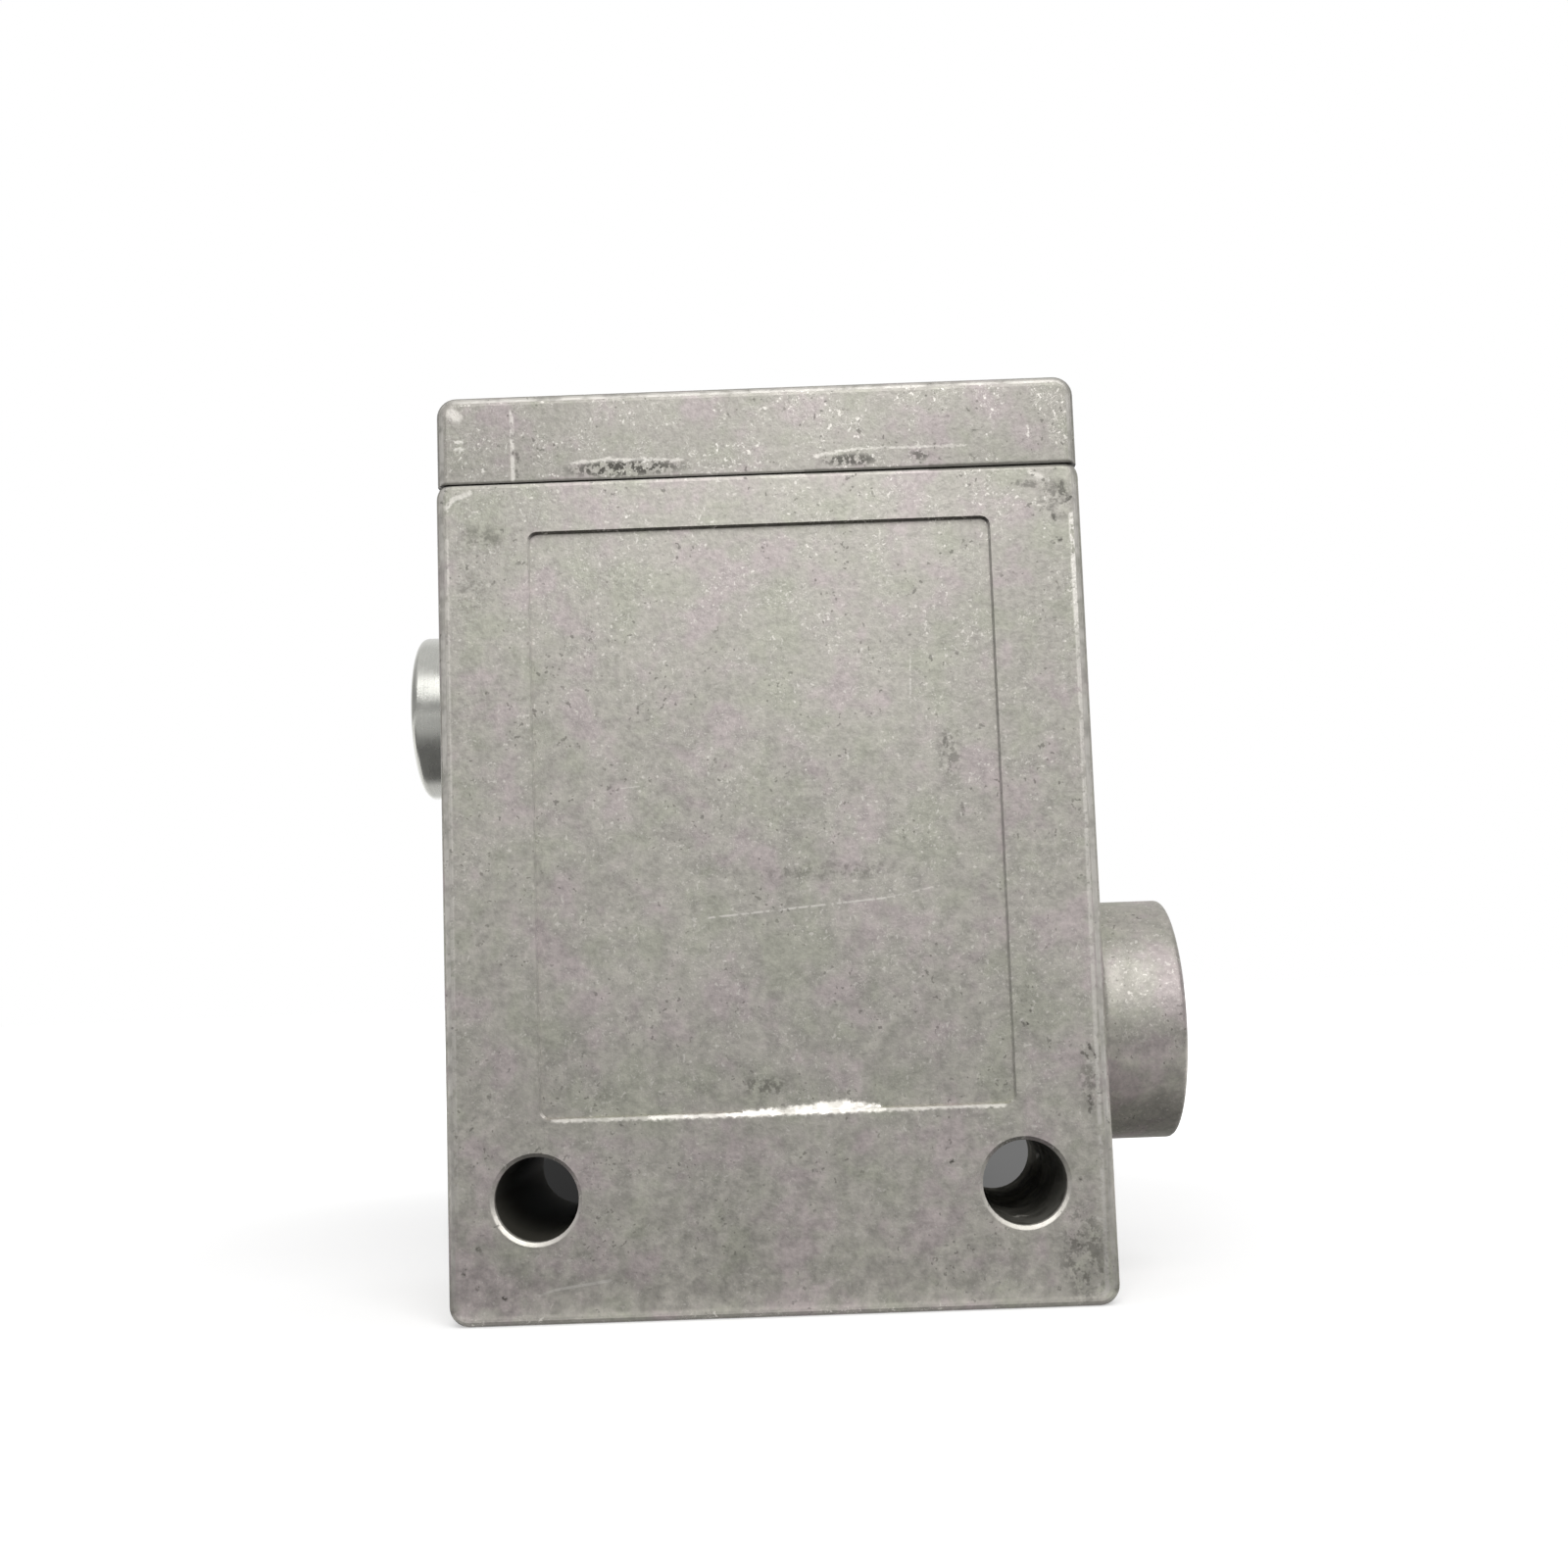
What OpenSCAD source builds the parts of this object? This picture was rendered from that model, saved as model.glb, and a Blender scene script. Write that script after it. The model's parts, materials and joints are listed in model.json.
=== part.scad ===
// Vacuum ejector with a built-in air reservoir.
//
// A die-cast housing stands on its base. Compressed air enters through a turned adapter high on the
// left side, passes a lip-cup valve and feeds both the reservoir under the cover and the jet nozzle
// low in the housing. The jet blows through the receiver nozzle and out of the boss on the right, and
// draws air up through the port in the base. When the supply stops, the cup falls back on its inlet
// and lets the reservoir blow out through the valve seat to the vacuum side.
//
// Millimetres. +X right, +Y back, +Z up. The origin is the centre of the vacuum port's mouth in the base.

/* [Housing] */
// Width of the housing, side to side
body_w = 52; // [50:1:58]
// Depth of the housing, front to back
body_d = 26; // [25:1:32]
// Height of the housing, from its base to the cover joint
body_h = 66.5; // [65:0.25:76]
// How much of the casting's rounded top is milled off for the cover joint
joint_trim = 0.6; // [0.3:0.1:0.8]
// Radius of the corners seen from the front
corner_r = 1.6; // [1.1:0.1:2.2]
// Radius of the edges round the front and back faces
edge_r = 0.9; // [0.5:0.1:1]
// Thickness of the walls round the reservoir, left and right
side_wall = 4; // [3.5:0.25:4.5]
// Thickness of the walls round the reservoir, front and back
face_wall = 3.8; // [3.2:0.2:4.2]
// Thickness of metal between the reservoir and the bores beside and below it
floor_wall = 3; // [2.5:0.25:4]
// Radius of the reservoir's upright corners
pocket_r = 2; // [1:0.25:3]

/* [Front panel] */
// Width of the sunk panel on the front
panel_w = 37.25; // [30:0.25:42]
// Height of the sunk panel
panel_h = 46.8; // [36:0.2:48]
// Height of the panel's lower edge above the base
panel_z = 15.7; // [14.5:0.1:17]
// Depth of the panel
panel_depth = 0.45; // [0.3:0.05:0.8]
// Corner radius of the panel
panel_r = 0.8; // [0.7:0.1:2]
// How far the panel's sides lean outwards between its floor and the surface
panel_draft = 0.15; // [0.1:0.05:0.4]

/* [Mounting holes] */
// Distance between the two through holes
mount_pitch = 38; // [36:0.5:39]
// Height of the holes above the base
mount_z = 9.6; // [8.5:0.1:10.5]
// Diameter of the holes, for M6 screws
mount_d = 6.6; // [5.5:0.1:6.8]
// Chamfer round each end of the holes
mount_chamfer = 0.3; // [0.1:0.05:0.5]

/* [Cover] */
// Height of the cover above the joint
cover_h = 7.35; // [6:0.05:10]
// How far the cover's sides stand in from the housing's
cover_inset = 0.1; // [0:0.05:0.3]
// Visible gap between the cover and the housing
seam_gap = 0.15; // [0.1:0.05:0.5]
// Depth of the hollow cast in the underside of the cover
cover_hollow = 3; // [1.5:0.25:3.5]
// Thickness of the cover gasket
gasket_t = 1; // [0.8:0.1:1.2]
// How far the gasket's edge stands in from the housing's sides
gasket_inset = 1.8; // [1.7:0.05:1.9]

/* [Cover screws] */
// Distance of each screw from the housing's sides, and from its front and back
screw_inset = 4.9; // [4.7:0.1:5.1]
// Diameter of the screws
screw_d = 4; // [3.5:0.1:4]
// Diameter of the countersunk heads
screw_head_d = 7.5; // [6.8:0.1:7.6]
// Length of the screws, over the head
screw_len = 14; // [12:0.5:16]
// How far the heads lie below the top of the cover
head_sink = 0.1; // [0.05:0.05:0.3]
// Length of the cross recess in the heads
cross_l = 4.2; // [3.6:0.1:4.8]
// Width of its slots
cross_w = 0.9; // [0.7:0.1:1.1]
// Depth of its slots
cross_h = 1.4; // [1:0.1:1.5]
// Clearance round the screws in the cover and the gasket, on the radius
screw_clear = 0.25; // [0.15:0.05:0.3]
// How far the tapped holes run past the screws
tap_extra = 2; // [1:0.25:3]
// Radius of the post round each screw, inside the reservoir
post_r = 4.2; // [3.9:0.1:4.4]

/* [Ports] */
// Outer diameter of the thread in the exhaust and vacuum ports, G1/4
port_d = 13.157; // [12:0.001:13.5]
// Depth of the exhaust port
exhaust_len = 12; // [10:0.25:12.5]
// Depth of the vacuum port
vacuum_len = 11; // [9:0.25:12]
// Diameter of the passage from the vacuum port to the ejector
vacuum_d = 8.5; // [6:0.25:9]
// Chamfer at the mouth of each port
port_chamfer = 0.5; // [0.3:0.05:0.7]
// Outer diameter of the boss round the exhaust port
boss_d = 20; // [19:0.25:21]
// How far the boss stands out of the side
boss_len = 6.9; // [6:0.1:9]
// Radius of the rim of the boss
boss_rim_r = 0.5; // [0.4:0.1:1.4]
// Radius of the fillet at the foot of the boss
boss_foot_r = 0.8; // [0.4:0.1:1]

/* [Ejector] */
// Height of the ejector's axis above the base
ejector_z = 21.6; // [21:0.1:23]
// Diameter of the bore that holds the two nozzles
cartridge_d = 11; // [10.8:0.05:11.3]
// Diameter of the air space behind the jet nozzle
plenum_d = 8; // [7:0.25:8.5]
// How far that air space runs past the feed channel
plenum_extra = 1.4; // [0.8:0.1:2]
// Distance from the suction passage back to the shoulder that the jet nozzle seats on
jet_setback = 9; // [8.8:0.1:9.4]
// Length of the jet nozzle's collar
jet_collar_len = 5; // [4.5:0.25:5]
// Length of the jet nozzle's tip
jet_tip_len = 4.5; // [3.5:0.25:5]
// Diameter of the jet nozzle at the root of its tip
jet_root_d = 7; // [6:0.25:7.4]
// Wall of the jet nozzle at its exit
jet_lip = 0.7; // [0.4:0.05:0.9]
// Diameter of the jet nozzle's inlet
jet_inlet_d = 5.6; // [4.5:0.1:6]
// Diameter of the jet nozzle's throat
jet_throat_d = 1.2; // [0.8:0.1:1.6]
// Diameter of the jet nozzle's exit
jet_exit_d = 1.7; // [1.7:0.1:2]
// Length of the flare from the throat to the exit
jet_flare_len = 2.5; // [1.5:0.1:3]
// Length of the receiver nozzle
receiver_len = 22.2; // [21:0.2:22.4]
// Depth of the open skirt that presses on the jet nozzle
skirt_len = 6.5; // [6.2:0.1:7]
// Diameter inside the skirt
skirt_d = 8.6; // [8.2:0.1:8.8]
// Diameter of the four suction windows in the skirt
window_d = 4.6; // [3.5:0.1:5]
// Diameter of the receiver nozzle's inlet cone
receiver_inlet_d = 6.2; // [5.4:0.1:6.6]
// Length of the inlet cone
inlet_cone_len = 2.4; // [1.6:0.1:3]
// Diameter of the receiver nozzle's throat
throat_d = 2.6; // [2.2:0.1:3.2]
// Length of the throat
throat_len = 3; // [2:0.25:4]
// Diameter of the receiver nozzle's exit
receiver_exit_d = 6.4; // [5:0.2:7]
// Distance from the bottom of the skirt to the receiver nozzle's O-ring
receiver_seal_place = 5; // [3:0.25:8]

/* [Retaining ring] */
// Thickness of the spring ring that holds the nozzles in
clip_t = 1; // [0.8:0.1:1.1]
// Depth of its groove
clip_groove = 0.5; // [0.3:0.05:0.6]
// How far the ring reaches inwards from the bore
clip_reach = 1.1; // [0.8:0.1:1.2]
// Radius of the two eyes at the ring's ends
eye_r = 1; // [0.8:0.1:1.1]

/* [Supply and valve] */
// Height of the supply port's axis above the base
valve_z = 49.6; // [48:0.1:50.5]
// Diameter of the turned head of the supply adapter
adapter_d = 14; // [13.6:0.1:15]
// How far the head stands out of the side
adapter_head = 3.6; // [3:0.1:5]
// Radius of the rim of the head
adapter_rim_r = 0.6; // [0.5:0.1:1.2]
// Diameter of the thread that holds the adapter in the housing
adapter_thread_d = 12; // [11.8:0.05:12.2]
// Length of that thread
adapter_thread_len = 5; // [4.5:0.1:5.5]
// Length of the sealed nose past the thread
adapter_nose_len = 2.8; // [2.6:0.1:3]
// Outer diameter of the thread in the supply port, G1/8
supply_d = 9.728; // [9:0.001:9.8]
// Depth of the supply port
supply_len = 7.4; // [6:0.1:7.6]
// Width across the flats of the key socket inside the adapter
key_af = 6; // [5:0.1:6]
// Height of the ring on the adapter that the cup seals on
inlet_lip_h = 0.6; // [0.4:0.1:0.8]
// Width of that ring at its root
inlet_lip_w = 0.5; // [0.4:0.05:0.6]
// Diameter of the valve chamber
chamber_d = 10.8; // [10.6:0.05:11]
// Length of the cup, from its flat face to its pad
cup_len = 3; // [2.6:0.1:3.2]
// Thickness of the cup's disc
cup_disc_t = 1.5; // [1:0.1:1.8]
// Thickness of the cup's lip at its edge
cup_lip_t = 0.7; // [0.4:0.05:0.8]
// How much wider than the seat's nose the cup's pad is, on the radius
cup_pad_extra = 0.6; // [0.4:0.1:0.8]
// How far the lip leans out over the cup's length
cup_flare = 1.1; // [0.8:0.05:1.2]
// How far the cup moves from the inlet to the seat
cup_travel = 1.5; // [1:0.1:1.6]
// Length of the seat's barrel
seat_len = 5.5; // [5:0.1:6]
// Diameter of the seat's nose
nose_d = 5; // [4.4:0.1:5.4]
// Diameter of the nose at its root
nose_root_d = 6.6; // [5.6:0.1:7]
// Diameter of the bore through the seat
seat_bore_d = 3; // [2.4:0.1:3.4]
// How much wider the passage behind the seat is
passage_extra = 1; // [0.4:0.1:1.4]
// Diameter of the two upright channels
channel_d = 3.5; // [3:0.1:3.6]
// Distance from each channel to the seat between them
channel_wall = 0.6; // [0.4:0.1:0.8]
// Diameter of the ball that plugs the blow-out channel
ball_d = 4; // [3.9:0.05:4.4]
// How deep the ball lies below the reservoir's floor
ball_sink = 0.4; // [0.2:0.1:0.8]

/* [Seals and fits] */
// Section of the O-rings
seal_t = 1.3; // [1.1:0.05:1.4]
// How much wider their grooves are
groove_extra = 0.4; // [0.2:0.05:0.4]
// Clearance of turned pieces in their bores, on the radius
fit_gap = 0.05; // [0.03:0.01:0.08]
// Clearance between a seal or a conical seat and the wall it meets
seal_gap = 0.02; // [0.01:0.01:0.04]
// Gap between the end of a thread and the bottom of its hole
thread_relief = 0.2; // [0.1:0.1:0.4]
// Chamfers at the ends of the turned pieces
small_chamfer = 0.2; // [0.1:0.05:0.3]

/* [Hidden] */
$fn = 64;
FINE_FN = 32;            // hulls and the section of the O-rings
ARC_STEPS = 6;           // steps in each quarter circle of a profile
EPS = 0.01;
CUT = 1;                 // how far a cutter runs past the face that it opens

side_x = body_w / 2;
face_y = body_d / 2;

// Ejector, along X: the jet nozzle's shoulder, the skirt's end against the jet nozzle, the suction
// windows, the retaining ring, the bottom of the exhaust port and its mouth
jet_x = -jet_setback;
receiver_x = jet_x + jet_collar_len;
window_x = receiver_x + skirt_len / 2;
clip_x = receiver_x + receiver_len;
boss_x = side_x + boss_len;
exhaust_end_x = boss_x - exhaust_len;
jet_seal_x = jet_x + jet_collar_len / 2;
receiver_seal_x = receiver_x + skirt_len + receiver_seal_place;
clip_groove_d = cartridge_d + 2 * clip_groove;

// Valve, along X: the blow-out channel stands over the windows, then back along the seat and the
// feed channel to the cup, the adapter and the mouth of the supply port
pulse_x = window_x;
seat_back_x = pulse_x - channel_d / 2 - channel_wall;
seat_x = seat_back_x - seat_len;
feed_x = seat_x - channel_d / 2 - channel_wall;
plenum_x = feed_x - channel_d / 2 - plenum_extra;
supply_x = -side_x - adapter_head;
thread_end_x = -side_x + adapter_thread_len + thread_relief;
adapter_end_x = -side_x + adapter_thread_len + adapter_nose_len;
adapter_seal_x = (thread_end_x + adapter_end_x) / 2;
inlet_lip_x = adapter_end_x + inlet_lip_h;
inlet_lip_r = key_af / 2 / cos(30) + inlet_lip_w;
cup_x = inlet_lip_x + fit_gap;
nose_x = cup_x + cup_len + cup_travel + fit_gap;

// Reservoir: deep on the right, shallow over the valve
deep_z = ejector_z + port_d / 2 + floor_wall;
shallow_z = valve_z + chamber_d / 2 + floor_wall;
deep_x = pulse_x + channel_d / 2 + floor_wall;
pocket_x = side_x - side_wall;
pocket_y = face_y - face_wall;

// The ball rests on the step where its bore narrows to the channel
ball_z = shallow_z - ball_sink - ball_d / 2;
ball_step_z = ball_z - seal_gap - sqrt(pow(ball_d / 2, 2) - pow(channel_d / 2, 2));

// Cover and its screws
cover_z = body_h + seam_gap;
top_z = cover_z + cover_h;
gasket_recess = gasket_t - seam_gap;
screw_x = side_x - screw_inset;
screw_y = face_y - screw_inset;
screw_head_h = (screw_head_d - screw_d) / 2;        // a 90 degree countersink
SCREW_PLACES = [[-1, -1], [1, -1], [1, 1], [-1, 1]];
CROSS_TURNS = [20, 65, 40, 80];                     // how each screw's cross came to rest, in degrees

CAST = [0.70, 0.69, 0.66];
TURNED = [0.80, 0.80, 0.78];
BRASS = [0.80, 0.66, 0.38];
STEEL = [0.60, 0.60, 0.61];
RUBBER = [0.08, 0.08, 0.08];

// ---------- shared shapes ----------

// Points of a quarter circle about c, from angle a to a + 90
function quarter(c, r, a) =
    [for (i = [0:ARC_STEPS]) c + r * [cos(a + 90 * i / ARC_STEPS), sin(a + 90 * i / ARC_STEPS)]];

// The floor of an O-ring's groove in a piece that fits a bore of this diameter
function groove_floor(bore_d) = bore_d - 2 * seal_t;

// Turns a shape built along +Z so that it runs along +X from x at height z
module along_x(x, z) {
    translate([x, 0, z]) rotate([0, 90, 0]) children();
}

// A round bar or bore along X from x0 to x1
module bar_x(d, x0, x1, z) {
    along_x(x0, z) cylinder(d = d, h = x1 - x0);
}

// The same, widening or narrowing evenly
module cone_x(d0, d1, x0, x1, z) {
    along_x(x0, z) cylinder(d1 = d0, d2 = d1, h = x1 - x0);
}

// A block w wide, d deep and from z0 to z1, with rounded corners and eased front and back edges
module eased_block(w, d, z0, z1) {
    profile = concat([[0, -d / 2]], quarter([corner_r - edge_r, -d / 2 + edge_r], edge_r, -90),
        quarter([corner_r - edge_r, d / 2 - edge_r], edge_r, 0), [[0, d / 2]]);
    hull()
        for (x = [-1, 1], z = [z0 + corner_r, z1 - corner_r])
            translate([x * (w / 2 - corner_r), 0, z]) rotate([90, 0, 0])
                rotate_extrude($fn = FINE_FN) polygon(profile);
}

// Takes off whatever lies between z and z + h, over the whole plan
module level_cut(z, h) {
    translate([-side_x - CUT, -face_y - CUT, z]) cube([body_w + 2 * CUT, body_d + 2 * CUT, h]);
}

// The chamfered mouth of a port of diameter d, which opens upwards at z = 0
module port_mouth(d) {
    translate([0, 0, -port_chamfer])
        cylinder(d1 = d, d2 = d + 2 * (port_chamfer + CUT), h = port_chamfer + CUT);
}

// An O-ring round the X axis, in a bore of this diameter
module o_ring(x, z, bore_d) {
    color(RUBBER) along_x(x, z) rotate_extrude() translate([(bore_d - seal_t) / 2, 0])
        circle(d = seal_t - 2 * seal_gap, $fn = FINE_FN);
}

// The groove for that ring, cut into the piece that fits the bore
module o_ring_groove(x, z, bore_d) {
    w = seal_t + groove_extra;
    along_x(x - w / 2, z) difference() {
        cylinder(d = bore_d + CUT, h = w);
        translate([0, 0, -EPS]) cylinder(d = groove_floor(bore_d), h = w + 2 * EPS);
    }
}

// Places a shape on the axis of each cover screw
module at_screws() {
    for (p = SCREW_PLACES) translate([p.x * screw_x, p.y * screw_y, 0]) children();
}

// Plan of the reservoir: a rounded rectangle between x0 and x1, less the posts round the screws
module reservoir_plan(x0, x1) {
    difference() {
        union() {
            translate([x0 + pocket_r, -pocket_y]) square([x1 - x0 - 2 * pocket_r, 2 * pocket_y]);
            translate([x0, -pocket_y + pocket_r]) square([x1 - x0, 2 * (pocket_y - pocket_r)]);
            for (x = [x0 + pocket_r, x1 - pocket_r], y = [-1, 1])
                translate([x, y * (pocket_y - pocket_r)]) circle(r = pocket_r);
        }
        at_screws() circle(r = post_r);
    }
}

// ---------- housing ----------

// The boss round the exhaust port, with an eased rim and a fillet at its foot
module exhaust_boss() {
    r = boss_d / 2;
    fillet = quarter([r + boss_foot_r, boss_foot_r], boss_foot_r, 180);
    foot = [for (i = [ARC_STEPS:-1:0]) fillet[i]];
    rim = quarter([r - boss_rim_r, boss_len - boss_rim_r], boss_rim_r, 0);
    along_x(side_x, ejector_z) rotate_extrude()
        polygon(concat([[0, -side_wall], [r + boss_foot_r, -side_wall]], foot, rim, [[0, boss_len]]));
}

// The shallow panel sunk into the front
module panel_recess() {
    x = panel_w / 2 - panel_r;
    hull()
        for (sx = [-x, x], z = [panel_z + panel_r, panel_z + panel_h - panel_r])
            translate([sx, -face_y + panel_depth, z]) rotate([90, 0, 0])
                cylinder(r1 = panel_r - panel_draft, r2 = panel_r + panel_draft, h = 2 * panel_depth,
                    $fn = FINE_FN);
}

// The two through holes for the mounting screws, eased at both ends
module mounting_holes() {
    for (sx = [-1, 1]) translate([sx * mount_pitch / 2, 0, mount_z]) {
        rotate([90, 0, 0]) cylinder(d = mount_d, h = body_d + 2 * CUT, center = true);
        for (turn = [-90, 90]) rotate([turn, 0, 0]) translate([0, 0, face_y - mount_chamfer])
            cylinder(d1 = mount_d, d2 = mount_d + 2 * (mount_chamfer + CUT), h = mount_chamfer + CUT);
    }
}

// The bore for the two nozzles, from the air space behind the jet to the exhaust port
module ejector_bores() {
    bar_x(plenum_d, plenum_x, jet_x + EPS, ejector_z);
    bar_x(cartridge_d, jet_x, exhaust_end_x + EPS, ejector_z);
    bar_x(clip_groove_d, clip_x, clip_x + clip_t + 2 * fit_gap, ejector_z);
    bar_x(port_d, exhaust_end_x, boss_x + CUT, ejector_z);
    along_x(boss_x, ejector_z) port_mouth(port_d);
}

// The port in the base and the passage up to the suction windows
module vacuum_port() {
    translate([0, 0, -CUT]) cylinder(d = port_d, h = vacuum_len + CUT);
    rotate([180, 0, 0]) port_mouth(port_d);
    translate([0, 0, vacuum_len - EPS]) cylinder(d = vacuum_d, h = ejector_z - vacuum_len);
}

// The bores for the adapter, the cup and the seat
module valve_bores() {
    bar_x(adapter_thread_d + 2 * fit_gap, -side_x - CUT, thread_end_x, valve_z);
    bar_x(chamber_d, thread_end_x - EPS, seat_back_x, valve_z);
    bar_x(seat_bore_d + passage_extra, seat_back_x - EPS, pulse_x, valve_z);
}

// The two channels drilled down from the reservoir, and the bore for the ball that plugs one of them
module channels() {
    for (x = [feed_x, pulse_x])
        translate([x, 0, ejector_z]) cylinder(d = channel_d, h = shallow_z - ejector_z + EPS);
    translate([pulse_x, 0, ball_step_z])
        cylinder(d = ball_d + 2 * fit_gap, h = shallow_z - ball_step_z + EPS);
}

module reservoir() {
    translate([0, 0, shallow_z]) linear_extrude(body_h - shallow_z + CUT)
        reservoir_plan(-pocket_x, pocket_x);
    translate([0, 0, deep_z]) linear_extrude(shallow_z - deep_z + EPS) reservoir_plan(deep_x, pocket_x);
}

module tapped_holes() {
    depth = screw_len + head_sink - cover_h - seam_gap + tap_extra;
    at_screws() translate([0, 0, body_h - depth]) cylinder(d = screw_d + 2 * fit_gap, h = depth + CUT);
}

module housing() {
    color(CAST) difference() {
        union() {
            eased_block(body_w, body_d, 0, body_h + joint_trim);
            exhaust_boss();
        }
        level_cut(body_h, joint_trim + CUT);
        panel_recess();
        mounting_holes();
        ejector_bores();
        vacuum_port();
        valve_bores();
        channels();
        reservoir();
        tapped_holes();
    }
}

// ---------- cover ----------

module gasket_plan(clear) {
    square([body_w - 2 * (gasket_inset - clear), body_d - 2 * (gasket_inset - clear)], center = true);
}

module cover() {
    below = 2 * corner_r;                           // cut off, so that the lower edge stays sharp
    sink_h = screw_head_h + head_sink + seal_gap;
    color(CAST) difference() {
        eased_block(body_w - 2 * cover_inset, body_d - 2 * cover_inset, cover_z - below, top_z);
        level_cut(cover_z - below - CUT, below + CUT);
        translate([0, 0, cover_z - CUT]) linear_extrude(gasket_recess + CUT) gasket_plan(fit_gap);
        translate([0, 0, cover_z]) linear_extrude(gasket_recess + cover_hollow)
            reservoir_plan(-pocket_x, pocket_x);
        at_screws() {
            translate([0, 0, cover_z - CUT]) cylinder(d = screw_d + 2 * screw_clear, h = cover_h + 2 * CUT);
            translate([0, 0, top_z - sink_h])
                cylinder(d1 = screw_d, d2 = screw_d + 2 * (sink_h + CUT), h = sink_h + CUT);
        }
    }
}

module cover_gasket() {
    color(RUBBER) translate([0, 0, body_h]) linear_extrude(gasket_t) difference() {
        gasket_plan(0);
        reservoir_plan(-pocket_x, pocket_x);
        at_screws() circle(r = screw_d / 2 + screw_clear);
    }
}

// A countersunk screw with a cross recess, its head just under the top of the cover
module cover_screw(i) {
    r = screw_d / 2;
    end = 2 * small_chamfer;
    color(STEEL) translate([SCREW_PLACES[i].x * screw_x, SCREW_PLACES[i].y * screw_y, top_z - head_sink])
        difference() {
            rotate_extrude() polygon([[0, -screw_len], [r - end, -screw_len], [r, -screw_len + end],
                [r, -screw_head_h], [screw_head_d / 2, 0], [0, 0]]);
            for (a = [0, 90])
                rotate(a + CROSS_TURNS[i]) translate([-cross_l / 2, -cross_w / 2, -cross_h])
                    cube([cross_l, cross_w, cross_h + CUT]);
        }
}

// ---------- supply adapter and valve ----------

// The turned adapter: an eased head, a thread, a sealed nose with the inlet's lip, and inside it the
// female port and a key socket that runs through to the cup
module supply_adapter() {
    head_r = adapter_d / 2;
    thread_r = adapter_thread_d / 2;
    nose_r = chamber_d / 2 - fit_gap;
    nose_h = adapter_head + adapter_thread_len;
    end_h = nose_h + adapter_nose_len;
    lip_h = end_h + inlet_lip_h;
    rim = quarter([head_r - adapter_rim_r, adapter_rim_r], adapter_rim_r, -90);
    color(TURNED) difference() {
        along_x(supply_x, valve_z) rotate_extrude()
            polygon(concat([[0, 0]], rim, [[head_r, adapter_head], [thread_r, adapter_head],
                [thread_r, nose_h], [nose_r, nose_h], [nose_r, end_h - small_chamfer],
                [nose_r - small_chamfer, end_h], [inlet_lip_r, end_h],
                [inlet_lip_r - small_chamfer, lip_h], [0, lip_h]]));
        bar_x(supply_d, supply_x - CUT, supply_x + supply_len, valve_z);
        along_x(supply_x, valve_z) rotate([180, 0, 0]) port_mouth(supply_d);
        along_x(supply_x + supply_len - EPS, valve_z) cylinder(d = key_af / cos(30), h = lip_h, $fn = 6);
        o_ring_groove(adapter_seal_x, valve_z, chamber_d);
    }
}

module adapter_o_ring() {
    o_ring(adapter_seal_x, valve_z, chamber_d);
}

// The rubber cup: a flat disc, a pad for the seat and a lip that leans out to the chamber's wall
module valve_cup() {
    lip_r = chamber_d / 2 - 2 * fit_gap;
    disc_r = lip_r - cup_flare;
    pad_r = nose_d / 2 + cup_pad_extra;
    color(RUBBER) along_x(cup_x, valve_z) rotate_extrude()
        polygon([[0, 0], [disc_r - small_chamfer, 0], [disc_r, small_chamfer], [lip_r, cup_len],
            [lip_r - cup_lip_t, cup_len], [disc_r - cup_lip_t, cup_disc_t], [pad_r, cup_disc_t],
            [pad_r - small_chamfer, cup_len], [0, cup_len]]);
}

// The seat that the cup closes when air is on: a barrel with a nose and a bore to the blow-out channel
module valve_seat() {
    color(BRASS) difference() {
        union() {
            bar_x(chamber_d - 2 * fit_gap, seat_x, seat_back_x, valve_z);
            cone_x(nose_d, nose_root_d, nose_x, seat_x + EPS, valve_z);
        }
        bar_x(seat_bore_d, nose_x - CUT, seat_back_x + CUT, valve_z);
        o_ring_groove(seat_x + seat_len / 2, valve_z, chamber_d);
    }
}

module seat_o_ring() {
    o_ring(seat_x + seat_len / 2, valve_z, chamber_d);
}

module ball_plug() {
    color(STEEL) translate([pulse_x, 0, ball_z]) sphere(d = ball_d);
}

// ---------- ejector ----------

// The jet nozzle: a sealed collar and a tapered tip, bored to a throat that opens again at the exit
module jet_nozzle() {
    tip_x = receiver_x + jet_tip_len;
    throat_x = tip_x - jet_flare_len;
    color(BRASS) difference() {
        union() {
            bar_x(cartridge_d - 2 * fit_gap, jet_x, receiver_x, ejector_z);
            cone_x(jet_root_d, jet_exit_d + 2 * jet_lip, receiver_x - EPS, tip_x, ejector_z);
        }
        cone_x(jet_inlet_d, jet_throat_d, jet_x - EPS, throat_x, ejector_z);
        cone_x(jet_throat_d, jet_exit_d, throat_x - EPS, tip_x + EPS, ejector_z);
        o_ring_groove(jet_seal_x, ejector_z, cartridge_d);
    }
}

module jet_o_ring() {
    o_ring(jet_seal_x, ejector_z, cartridge_d);
}

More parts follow.
